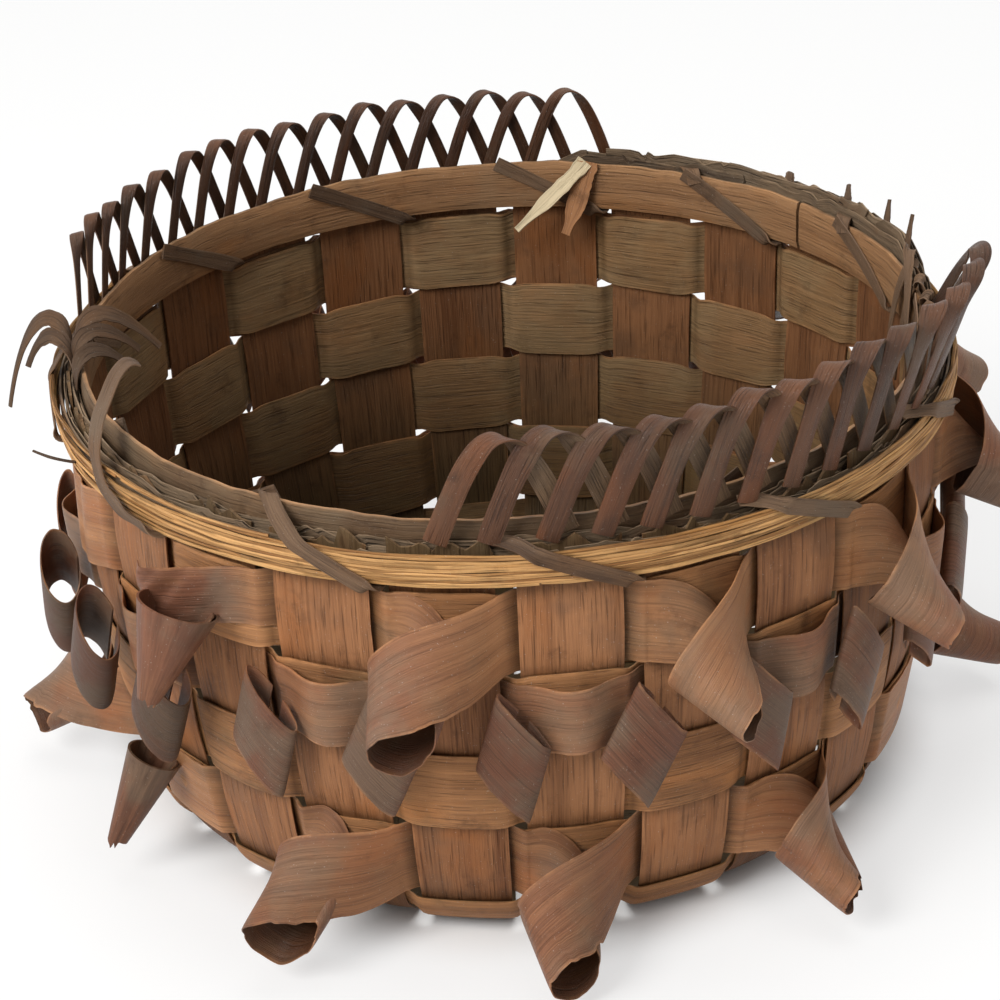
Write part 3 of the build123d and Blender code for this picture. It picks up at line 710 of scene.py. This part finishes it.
def cone_sheet(centre, row, steep, length, seed, rise, wide, dim):
    """Cone rolled from a ribbon's end: a ring that shrinks down a slanting axis, over a turn round."""
    radius, height = row[:2]
    right, away = along(centre), outward(centre)
    steep = np.radians(steep)
    axis = unit(away * np.sin(steep) - UP * np.cos(steep) - right * 0.15)
    front = unit(away - axis * (axis @ away))
    left = np.cross(axis, front)
    turn = np.radians(np.linspace(-200, 250, 90))[:, None]
    share = np.linspace(0, 1, 90)[:, None]
    down = np.linspace(0, 1, 40) * (1 - 0.12 * jagged(share, seed, 12))
    tip_radius = 0.002
    reach = (wide - (wide - tip_radius) * down) * (1 - 0.14 * share)
    ray = front * np.cos(turn)[..., None] + left * np.sin(turn)[..., None]
    hub = spot(radius + wide + 0.001, centre, height + rise)
    grid = hub + axis * (down * length)[..., None] + ray * reach[..., None]
    return sheet(np.swapaxes(grid, 0, 1), ribbon, 0.35, wind=0.9, shade=dim, back=(0.9, dim), seed=seed)


print("ribbons stand off the wall by", round(ribbon_lift, 4))

# %% Curls of the top row and of the bottom row
def curl_row(first, row, out, drop, seed, shapes):
    """One ribbon every 30 degrees, each with its own shape; a place without a shape is left out."""
    return [curl_sheet(first + 30 * number, row, out, drop, shape, seed + number)
            for number, shape in enumerate(shapes) if shape]


top_curls = curl_row(22.5, rows[0], 0.0145, 0.0093, 200, [
    (0.86, 1, 1.22, 58, 14, 1, -0.3, 0.28, 0.6), (0.88, 1, 1.2, 54, 4, 1, 4, 0.25, 0.85),
    (1, 1, 1, 62, -3, 1, 5.5, 0.14, 1), (0.95, 1, 1.1, 60, 5, 1, 4, 0.2, 0.8),
    (0.92, 1, 1.2, 56, 9, 1, 3, 0.25, 0.9), (1, 1, 1, 62, -3, 1, 5.5, 0.14, 0.7),
    (0.95, 1, 1, 60, 4, 1, 5, 0.18, 1), (0.9, 1, 1.2, 57, 10, 1, 3, 0.26, 0.85),
    (1, 1, 1, 62, -3, 0.2, 5.5, 0.14, 0.9), (0.74, 0.95, 1.7, 26, -4, 0.12, 2, 0.05, 0.9),
    None, (1, 1, 1, 62, -3, 1, 5.5, 0.14, 0.95)])
top_curls.insert(10, tongue_sheet(322.5, rows[0], (-0.2, 0.5), 1.16, 0.0105, 0.003, 222))
top_curls.append(cone_sheet(321, rows[0], 22, 0.026, 223, 0.001, 0.0102, 0.25))
piece("curls_top", top_curls, [curl_wood], ["ribbons_top"])
low_curls = curl_row(7.5, rows[3], 0.0165, 0.0087, 230, [
    (0.95, 1, 1, 62, 3, 1, 5, 0.16, 0.7), (0.86, 1, 0.88, 60, 0, 1, -1, 0.25, 0.85),
    (0.9, 1, 1, 60, 0, 0, 5.5, 0.14, 1), (0.95, 1, 0.9, 62, 3, 1, 5, 0.14, 0.8),
    (0.92, 1, 0.8, 60, -4, 1, 5, 0.2, 0.9), (0.95, 1, 1, 62, 5, 1, 4, 0.14, 0.7),
    (0.95, 1, 0.9, 62, 0, 1, 5.5, 0.2, 1), (0.9, 1, 1, 58, 6, 1, 3, 0.22, 0.85),
    (0.95, 1, 0.8, 62, -4, 1, 5, 0.14, 0.9), (0.9, 1, 0.6, 60, 0, 1, 5.5, 0.14, 0.8),
    (0.64, 0.75, 1.1, 22, 0, 0, 6.5, 0.1, 1), (1, 1, 0.5, 63, -9, 1, 5.5, 0.02, 0.8)])
low_curls.append(cone_sheet(306, rows[3], 26, 0.028, 242, 0.009, 0.0072, 0.45))
piece("curls_bottom", low_curls, [curl_wood], ["ribbons_bottom"])

# %% [markdown]
# ## Loose bands and petals in the middle row
# Half way up, the ribbons stand off the wall as loose bands, and at both ends of each band a
# short ribbon is folded into a flat slanting tube, like a petal.
# An array round a circle would copy one petal twenty-four times; worked out one by one, each
# petal gets its own slope, and three at the left are rolled wider open.

# %% Bands and petals
band_width, band_bulge = 0.018, 0.0045
petal_width, petal_half, petal_deep, petal_drop = 0.021, 0.0095, 0.0028, 0.008
petal_slope, petal_lean = 55, 24


def band_sheet(centre, row, seed):
    """Run on the wall with a bulge between the edges of its upright: the square of a sine."""
    share, flat, up_wall, lift = wall_run(centre, row, 70)
    bulge = band_bulge * np.sin(np.pi * np.clip(share, 0, 1)) ** 2
    angle = centre + half_upright * (1 - 2 * share)
    centres = flat + outward(angle) * bulge[:, None]
    grid = flat_strip(centres, up_wall, band_width + 0.0002 * ripple(share * 2, seed), 11)
    # Painted shade where the band is tucked under the uprights.
    tucked_shade = 0.7 * (1 - lift)[:, None]
    tone = default_rng(seed).uniform(0.2, 0.6)
    return sheet(grid, ribbon, tone, wind=0.55, shade=tucked_shade, seed=seed)


def petal_sheet(centre, row, seed, open_by, slope_angle, lean_angle):
    """Ellipse in the plane of the slope and the outward way, carried along a leaning side."""
    radius, height = row[:2]
    draw = default_rng(seed)
    right, away = along(centre), outward(centre)
    slope = np.radians(slope_angle + draw.uniform(-5, 5))
    lean = np.radians(lean_angle + draw.uniform(-4, 4))
    run = right * np.cos(slope) - UP * np.sin(slope)
    side = right * np.sin(lean) + UP * np.cos(lean)
    deep = petal_deep + open_by
    hub = spot(radius + petal_seat + deep + 0.4 * open_by, centre, height - petal_drop)
    turn = np.radians(np.linspace(-78, 258, 80))[:, None]
    centres = hub + run * petal_half * np.cos(turn) + away * deep * np.sin(turn)
    width = petal_width + 0.0005 * ripple(np.linspace(0, 2, 80), seed)
    grid = flat_strip(centres, np.broadcast_to(side, centres.shape), width, 13)
    # Painted shade: the outer face of every petal is darker, and the three opened ones are darker on both
    # faces.
    tone, dim = draw.uniform(0.2, 0.6), 170 * open_by
    return sheet(grid, ribbon, tone, wind=0.95, shade=dim, back=(0.95, 0.35 + dim), seed=seed)


petal_reach = petal_half * np.cos(np.radians(petal_slope))
petal_reach = petal_reach + petal_width / 2 * np.sin(np.radians(petal_lean))
petal_inner = step_angle / 2 - np.degrees(petal_reach / rows[1][0])
petal_share = np.clip((half_upright - petal_inner) / (2 * half_upright), 0, 0.5)
petal_seat = ribbon_lift + ribbon + 0.54 * band_bulge * np.sin(np.pi * petal_share) ** 2 + weave_gap
bands = [band_sheet(7.5 + 30 * number, rows[1], 260 + number) for number in range(12)]
petals = []
for number in range(24):
    opened = 18 < number < 22
    slope, lean = (petal_slope, petal_lean) if opened or number % 2 else (47, 14)
    petals.append(petal_sheet(15 * number, rows[1], 280 + number, 0.0020 * opened, slope, lean))
piece("bands_middle", bands, [curl_wood], ["ribbons_middle"])
piece("petals_middle", petals, [curl_wood], ["petals"])

# %% [markdown]
# ## The rim
# Four hoops hold the tops of the uprights, from a smooth wide one inside to a light band
# outside. A torus is the usual start for a hoop; here each is a strip that goes nearly round,
# with its two ends butted, so its grain runs round the rim. The fillers are torn, so each is
# a few layers of shorter arcs, and the light band is made of strands.

# %% Hoops and torn fillers
rim_radius = wall_radius(upright_top)
layer_gap = 0.00006


def hoop_sheet(inner, outer, top, start, seed, rough_top=0, dull=0):
    """Ring at the middle radius: heights from the rim's floor to a torn top, with a slow wander."""
    angle = start + 90 + np.linspace(0.1, 359.5, 420)[:, None]
    across = np.linspace(0, 1, 7)
    torn = rough_top * (0.5 + 0.5 * ripple(angle / 25, seed, 9))
    height = rim_floor + (top - rim_floor - torn) * across
    radius = (inner + outer) / 2 + 0.0001 * ripple(angle / 70, seed + 1)
    return sheet(spot(radius, angle, height), outer - inner, wind=1.5 * dull, shade=dull,
                 back=(0, 0.05), seed=seed, soft=0.55)


def torn_arc(inner, outer, first, last, top, seed):
    """Arc of a torn filler: heights up to a jagged top, and ends that are ragged across the strip."""
    across = np.linspace(0, 1, 9)
    share = np.linspace(0, 1, int(24 + 1.6 * (last - first)))[:, None]
    begin = first + 3 * jagged(across, seed, 7)
    angle = begin + (last - 3 * jagged(across, seed + 1, 7) - begin) * share
    tip = np.interp(angle, *top) - 0.0022 * jagged(share, seed + 2, int(6 + (last - first) / 3))
    height = rim_floor + tip * across
    radius = (inner + outer) / 2 + 0.00012 * ripple(angle / 30, seed + 3)
    tone = default_rng(seed).uniform(0.1, 0.9)
    # Painted shade: darker down towards the rim's floor, deep between the hoops.
    return sheet(spot(radius, angle, height), outer - inner - layer_gap, tone, shade=0.6 - 0.5 * across,
                 seed=seed, soft=0.4)


def torn_layers(inner, outer, count, top, seed):
    """Layers of torn strips side by side, each of arcs that begin and end at seeded angles."""
    draw = default_rng(seed)
    edges = np.linspace(inner, outer, count + 1)
    strips = []
    for number in range(count):
        cuts = draw.uniform(0, 60) + np.cumsum(draw.uniform(38, 75, 7))
        cuts = np.append(cuts[cuts < cuts[0] + 345], cuts[0] + 359)
        for first, last in zip(cuts[:-1], cuts[1:]):
            own = (top[0], top[1] + draw.uniform(-0.0022, 0.001))
            own_seed = seed + 7 * len(strips)
            strips.append(torn_arc(edges[number], edges[number + 1], first, last, own, own_seed))
    return strips


shell = rim_radius - splint / 2 - weave_gap
filler_inner = shell - 0.002
hoop_outer = filler_inner - weave_gap
hoop_inner = hoop_outer - 0.0022
thin_hoop = 0.001
out_filler = rim_radius + splint / 2 + weave_gap
out_hoop = out_filler + thin_hoop + weave_gap
band_inner = out_hoop + thin_hoop + weave_gap
band_outer = band_inner + 0.0009
hoop_top = rim_floor + 0.014
filler_top = rim_floor + 0.0095
out_filler_top = rim_floor + 0.009
out_hoop_top = rim_floor + 0.007
band_top = rim_floor + 0.00845
torn_from = np.array([96, 106, 118, 132, 150, 168, 176])
torn_rise = np.array([0, 0.011, 0.0105, 0.009, 0.008, 0.0075, 0])
around = np.concatenate([[-1], torn_from, [455], torn_from[1:] + 360])
ragged = np.concatenate([[0], torn_rise, torn_rise])
inner_ring = hoop_sheet(hoop_inner, hoop_outer, hoop_top, 40, 301, 0.0009, 0.45)
inner_layers = torn_layers(filler_inner, shell, 3, (around, 0.0098 + ragged), 1302)
outer_layers = torn_layers(out_filler, out_filler + thin_hoop, 2, (around, 0.0094 + 0.8 * ragged), 1403)
outer_ring = hoop_sheet(out_hoop, out_hoop + thin_hoop, out_hoop_top, 310, 304)
piece("hoop_inside", [inner_ring], [hoop_wood], ["inner_hoop"])
piece("filler_inside", inner_layers, [filler_wood], ["inner_filler"])
piece("filler_outside", outer_layers, [filler_wood], ["outer_filler"])
piece("hoop_outside", [outer_ring], [filler_wood], ["outer_hoop"])

# %% Strands of the light band
strand = 0.0008


def strand_sheet(low, high, first, last, seed, splay):
    """One strand of the light band: a flat ring between two shares of the band's height.

    It wanders up, down and outward, its ends thin out to a point, and on the left the strands splay.
    """
    angle = np.linspace(first, last, int(1.5 * (last - first)))[:, None]
    across = np.linspace(-0.5, 0.5, 7)
    tall = band_top - rim_floor
    level = (low + high) / 2
    left = np.exp(-(apart(angle, -62) / 24) ** 2)
    centre = level + 0.02 * ripple(angle / 45, seed) + left * (0.5 * (level - 0.5) + 1.4 * splay)
    ends = np.minimum(ease(angle, first, first + 5), 1 - ease(angle, last - 7, last))
    wide = (high - low) * (0.9 + 0.16 * ripple(angle / 30, seed + 2))
    wide = wide * (0.15 + 0.85 * ends) * (1 - 0.42 * left)
    belly = 0.0005 * (1 - (2 * centre - 1) ** 2) + 0.0016 * left * ease(centre, 0.55, 1)
    radius = (band_inner + band_outer) / 2 + belly + 0.00025 * ripple(angle / 32, seed + 1)
    grid = spot(radius - 0.0004 * across ** 2, angle, rim_floor + tall * (centre + across * wide))
    tone = default_rng(seed).uniform(0, 1) + 0.35 * ripple(angle / 50, seed + 3)
    # Painted shade along both edges of each strand, where the gaps between strands are; darker patches at
    # seeded places too.
    strand_edge_shade_and_patches = 0.75 * np.abs(2 * across) ** 5 + 0.35 * (ripple(angle / 70, seed + 4) > 0.7)
    return sheet(grid, strand, tone, shade=np.clip(strand_edge_shade_and_patches, 0, 0.8), seed=seed, soft=0.7)


for number in range(4):
    draw = default_rng(320 + number)
    marks = number / 4 + np.concatenate([[0], np.sort(draw.uniform(0.05, 0.2, 2)), [0.25]])
    strands = []
    for part in range(3):
        begin = 85 * number + 40 * part + draw.uniform(0, 20)
        strands.append(strand_sheet(marks[part], marks[part + 1], begin, begin + draw.uniform(345, 368),
                                    330 + 5 * number + part, draw.uniform(-0.06, 0.06)))
    piece("light_band_%d" % (number + 1), strands, [band_wood], ["binding_%d" % (number + 1)])

# %% [markdown]
# ## Loops on the rim
# Narrow strips rise outside the rim, bend over and come down inside, each one a step further
# round. Array would copy one loop along a circle; worked out one by one they can differ, and
# the last ones at the right lean outward.

# %% Two runs of loops
loop = 0.0007
front_width, back_width = 0.0055, 0.0034
front_run, back_run = (-8, 6.3, 15.5, 14), (-196.5, 6.1, 12.5, 16)


def loop_sheet(start, span, rise, width, lean, seed):
    """Half turn: radius by a cosine from outside to inside, height by a sine, angle by the share.

    The face of the strip looks outward on the way up, upward at the top and inward on the way down.
    """
    outer, inner = out_filler + 0.0005, (filler_inner + shell) / 2
    middle, depth = (outer + inner) / 2, (outer - inner) / 2
    draw = default_rng(seed)
    slant = np.arctan2(np.radians(span) * middle / np.pi, rise)
    lift = width / 2 * np.sin(slant) + weave_gap
    share = np.linspace(0, 1, 64)
    turn = np.pi * share
    tall = rise * (1 + draw.uniform(-0.05, 0.02))
    angle = start + draw.uniform(-0.5, 0.5) + span * share
    foot = out_filler_top + (filler_top - out_filler_top) * share + lift
    centres = spot(middle + depth * np.cos(turn) + lean * np.sin(turn), angle, foot + tall * np.sin(turn))
    bend = np.pi * ease(turn, np.radians(15), np.radians(165))[:, None]
    face = outward(angle) * np.cos(bend) + UP * np.sin(bend)
    sides = unit(np.cross(face, np.gradient(centres, axis=0)))
    grid = flat_strip(centres, sides, width * (1 + 0.05 * ripple(share, seed)), 7, 0.0002)
    # Painted shade on the side of each leg that faces into the basket; the outward face of the inner leg
    # takes the paler tints, as painted light.
    down = ease(share, 0.5, 0.72)[:, None]
    return sheet(grid, loop, draw.uniform(0.2, 0.8), shade=0.5 * down,
                 back=(0.9 * down, 0.5 - 0.3 * down), seed=seed)


def loop_row(run, rise, width, lean, seed):
    """Loops of one run, which holds the first angle, the pitch, the span of a loop and the count."""
    first, pitch, span, count = run
    leans = lean * ease(np.arange(count), 7, 13)
    return [loop_sheet(first + pitch * number, span, rise, width, leans[number], seed + number)
            for number in range(count)]


front_loops = loop_row(front_run, 0.026, front_width, 0.009, 400)
back_loops = loop_row(back_run, 0.024, back_width, 0, 430)
piece("loops_on_front", front_loops, [loop_wood], ["loops_front"])
piece("loops_on_back", back_loops, [loop_wood], ["loops_back"])

# %% [markdown]
# ## Lashing
# One flat strip ties the hoops to the uprights. It goes in through every second hole under
# the rim, slants up the inside, and comes over the top where no loops stand in the way.
# A curve with a round bevel would give a cord; a path of smoothed corners keeps the strip flat.
# One wrap at the left has come loose and stands up from the rim.

# %% Twelve wraps of the lashing
lash = 0.0006
lash_width = 0.0038
lash_gap = 0.0003
loose_hole = 315
loose_wrap = ((0.1172, -50.5, 0.0012), (0.1176, -54.5, 0.0053), (0.1174, -55.5, 0.0138),
              (0.1142, -57, 0.0198), (0.1064, -59.5, 0.0276), (0.1020, -60, 0.0304),
              (0.1000, -59.5, 0.0285))


def rim_spots(places):
    """Points given by rows of radius, angle and height above the rim's floor."""
    radius, angle, height = np.array(places).T
    return spot(radius, angle, rim_floor + height)


def under_loops(angle):
    """Whether a run of loops stands on the rim at this angle from the front."""
    margin = np.degrees(front_width / rim_radius)
    return any((angle - first + margin) % 360 < pitch * (count - 1) + span + 2 * margin
               for first, pitch, span, count in (front_run, back_run))


def smooth_path(corners, count):
    """Points along straight runs, averaged with their neighbours so that the corners become bends."""
    length = lengths(corners)
    path = between(np.linspace(0, length[-1], count), length, corners)
    for _ in range(14):
        path[1:-1] = (path[:-2] + 2 * path[1:-1] + path[2:]) / 4
    return path


def lash_sheet(hole, seed):
    """Up the inside, through the hole, up the outside and over, as one strip along those corners."""
    clear = lash_gap + lash / 2
    near, far = hoop_inner - clear, band_outer + 0.0004 + clear
    level = wall_top + lash_hole / 2
    roof = hoop_top + clear
    share = np.linspace(0, 1, 12)
    inside = spot(near, hole + 16 * share, level + (hoop_top - level) * share)[::-1]
    through = spot(np.array([(near + far) / 2, far]), hole, level)
    share = share[1:]
    parts = [inside, through]
    if hole == loose_hole:
        parts.append(rim_spots(loose_wrap))
    elif under_loops(hole - 14):
        parts.append(spot(far, hole - 11.5 * share, level + (band_top - level) * share))
        parts.append(spot(np.array([out_hoop, out_filler, shell]), hole - np.array([13, 14.6, 16.2]),
                          np.array([band_top + 0.001, out_filler_top + 0.0012, filler_top + 0.0008])))
    else:
        crest = (band_top + roof) / 2 + 2 * clear
        parts.append(spot(far, hole - 9 * share, level + (band_top - level) * share))
        parts.append(spot(np.array([(far + hoop_outer) / 2, hoop_outer, near + lash, near - 0.0004]),
                          hole - np.array([12.2, 14.4, 15.6, 16.2]),
                          np.array([crest, roof + lash_gap, roof, roof - 0.003])))
    centres = smooth_path(np.concatenate(parts), 150)
    angle = np.degrees(np.arctan2(centres[:, 0], -centres[:, 1]))
    place = np.linspace(0, 1, 150)
    width = lash_width * ((1.35 if hole == loose_hole else 1.1) + 0.08 * ripple(place * 1.5, seed))
    grid = flat_strip(centres, square_sides(centres, along(angle)), width, 7, 0.00015)
    return sheet(grid, lash, default_rng(seed).uniform(0.2, 0.8), shade=0.1, seed=seed)


wraps = [lash_sheet(15 + 30 * number, 460 + number) for number in range(12)]
piece("lashing_wraps", wraps, [lash_wood], ["lashing"])

# %% [markdown]
# ## Loose ends
# A bunch of torn lashing stands out at the left, two straws hang inside the back, stubs stick
# up at the back right, a bundle bends inward at the right, and one stray fibre hangs at the left.
# Each is a strip along a bent curve; a hair system could give more of them, but these few are
# seen one by one. Three finishes share the mesh by material slot.

# %% Loose ends as bent strips
end_strip = 0.0006
seat, seat_rise = (filler_inner + shell) / 2, 0.0097
within = hoop_inner - end_strip


def bent_sheet(places, width, seed, tone, layer=0, twist=0, dull=0.1):
    """Strip along a curve of third degree: four corners weighted by cubes of the share and its rest."""
    share = np.linspace(0, 1, 36)[:, None]
    rest = 1 - share
    first, second, third, last = rim_spots(places)
    centres = (first * rest ** 3 + second * 3 * rest ** 2 * share
               + third * 3 * rest * share ** 2 + last * share ** 3)
    sides = unit(along(places[0][1]) + UP * twist * (0.3 + share))
    taper = 1 - 0.55 * ease(share[:, 0], 0.6, 1)
    narrow = width * taper * (1 + 0.12 * ripple(share[:, 0] * 2, seed))
    grid = flat_strip(centres, square_sides(centres, sides), narrow, 6, 0.0003)
    return sheet(grid, end_strip, tone, shade=dull, seed=seed, layer=layer)


def standing(seed, ends, **looks):
    """Strips that stand on the inner filler: for each its width, its angle and three more corners."""
    return [bent_sheet([(seat, angle, seat_rise), *bend], width, seed + number, **looks)
            for number, (width, angle, *bend) in enumerate(ends)]


loose = standing(500, [
    (0.0042, -82, (seat - 0.001, -86, 0.026), (0.1215, -91, 0.027), (0.1284, -89, -0.005)),
    (0.0042, -80, (seat, -83, 0.022), (0.1170, -88, 0.020), (0.1215, -86, 0.009)),
    (0.0044, -84, (seat - 0.001, -86, 0.027), (0.0990, -89, 0.024), (0.0880, -89, 0.010)),
    (0.0042, -80, (seat, -82, 0.024), (0.1010, -86, 0.021), (0.0930, -87, 0.011)),
    (0.0040, -77, (seat, -79, 0.021), (0.1010, -83, 0.018), (0.0955, -83, 0.009)),
], tone=0.3, twist=-0.9, dull=0.4)
loose.append(bent_sheet([(within, 167, 0.0148), (within - 0.001, 168.5, 0.011),
                         (within - 0.005, 172, 0.006), (within - 0.009, 178, -0.003)],
                        0.0044, 510, 0.8, layer=1))
loose.append(bent_sheet([(within, 166.6, 0.0146), (within - 0.001, 167, 0.009),
                         (within - 0.003, 168.4, 0.002), (within - 0.005, 170, -0.006)],
                        0.0056, 511, 0.7, layer=2))
loose += standing(520, [
    (0.003, angle, (seat, angle, 0.015), (seat + 0.001, angle + 0.5, 0.020),
     (seat + 0.003, angle + 1.5, high))
    for angle, high in ((104, 0.025), (111, 0.024), (121, 0.0215), (133, 0.0182))], tone=0.3)
loose += standing(530, [
    (0.0044, 96, (seat - 0.001, 97, 0.027), (0.1035, 100, 0.015), (0.1028, 101, -0.0127)),
    (0.0048, 92, (seat - 0.002, 93, 0.026), (0.1040, 95, 0.013), (0.1030, 97, -0.014)),
    (0.0052, 87, (seat - 0.001, 88, 0.025), (0.1045, 90, 0.012), (0.1038, 93, -0.012)),
    (0.0036, 103, (seat, 102, 0.028), (0.1050, 95, 0.021), (0.1030, 89, 0.002)),
    (0.0040, 83, (seat - 0.001, 84, 0.025), (0.1045, 87, 0.014), (0.1040, 88, -0.006)),
], tone=0.6)
loose.append(bent_sheet([(band_outer, -66, 0.0006), (band_outer + 0.003, -67, 0.0008),
                         (band_outer + 0.006, -68.5, 0.0011), (band_outer + 0.0085, -70, 0.0018)],
                        0.0007, 540, 0.1, dull=0.5))
piece("loose_strips", loose, [lash_wood, straw_wood, curl_wood], ["loose_ends"])

# %% [markdown]
# ## Floor and light
# The photograph was taken on a white ground under broad soft light, so the floor is a plain
# pale plate and the lamps are large. The floor shows near white to the camera and still takes
# the shadow. A sun would cut hard shadows, so two wide area lamps are used.

# %% A floor that shows near white
floor_gap = 0.0002
floor_level = cad_box[0][2] - floor_gap
floor_corners = [(x, y, floor_level) for x, y in ((-4, -4), (4, -4), (4, 4), (-4, 4))]
floor_mesh = bpy.data.meshes.new("floor")
floor_mesh.from_pydata(floor_corners, [], [(0, 1, 2, 3)])
floor = put("floor", floor_mesh)
floor_paint, paint, matt = painted("floor_paint")
feed, add, math, spread = node_words(paint)
feed(matt.inputs["Base Color"], (0.9, 0.9, 0.89))
feed(matt.inputs["Roughness"], 0.9)
floor_mesh.materials.append(floor_paint)


def seen_by_eye(tree, low, high):
    """Low for light that bounces, high for rays that come from the camera, a mirror or glass."""
    feed, add, math, spread = node_words(tree)
    path = add("ShaderNodeLightPath").outputs
    seen = math("MAXIMUM", path["Is Camera Ray"], path["Is Glossy Ray"])
    return spread(math("MAXIMUM", seen, path["Is Transmission Ray"]), 0, 1, low, high)


body = add("ShaderNodeTexCoord").outputs["Object"]
from_middle = add("ShaderNodeVectorMath", {0: body}, operation="LENGTH").outputs["Value"]
glow = math("MULTIPLY", seen_by_eye(paint, 0, 0.62), spread(from_middle, 0.092, 0.116))
both = add("ShaderNodeMixShader", {0: glow, 1: matt.outputs[0], 2: add("ShaderNodeEmission").outputs[0]})
feed(paint.nodes["Material Output"].inputs["Surface"], both.outputs[0])
print("floor at", round(floor_level, 4))

# %% World and lamps
world = bpy.data.worlds.new("studio")
scene.world = world
world.use_nodes = True
sky = world.node_tree
sky.nodes["Background"].inputs["Color"].default_value = (1, 1, 1, 1)
sky.links.new(seen_by_eye(sky, 0.44, 1), sky.nodes["Background"].inputs["Strength"])
lamp_aim = np.array([0, 0, 0.06])


def lamp(name, place, size, power):
    """Area lamp at a place, turned so that its own -Z looks at the aim."""
    data = bpy.data.lights.new(name, "AREA")
    data.shape, data.size, data.energy = "DISK", size, power
    back = unit(np.array(place) - lamp_aim)
    side = unit(np.cross(UP, back))
    stand(put(name, data), side, np.cross(back, side), back, place)


lamp("key_lamp", (-0.80, -0.85, 1.05), 0.8, 18.5)
lamp("top_lamp", (0.10, 0.30, 1.6), 1.2, 11)
scene.view_settings.view_transform = "Standard"
print("lamps:", len(bpy.data.lights))

# %% [markdown]
# ## The box of the imported model
# The skin must stay near the box of the imported model, so that box is printed at the end.

# %% Print the box of the imported model
print("cad box", [round(v, 4) for corner in cad_box for v in corner])
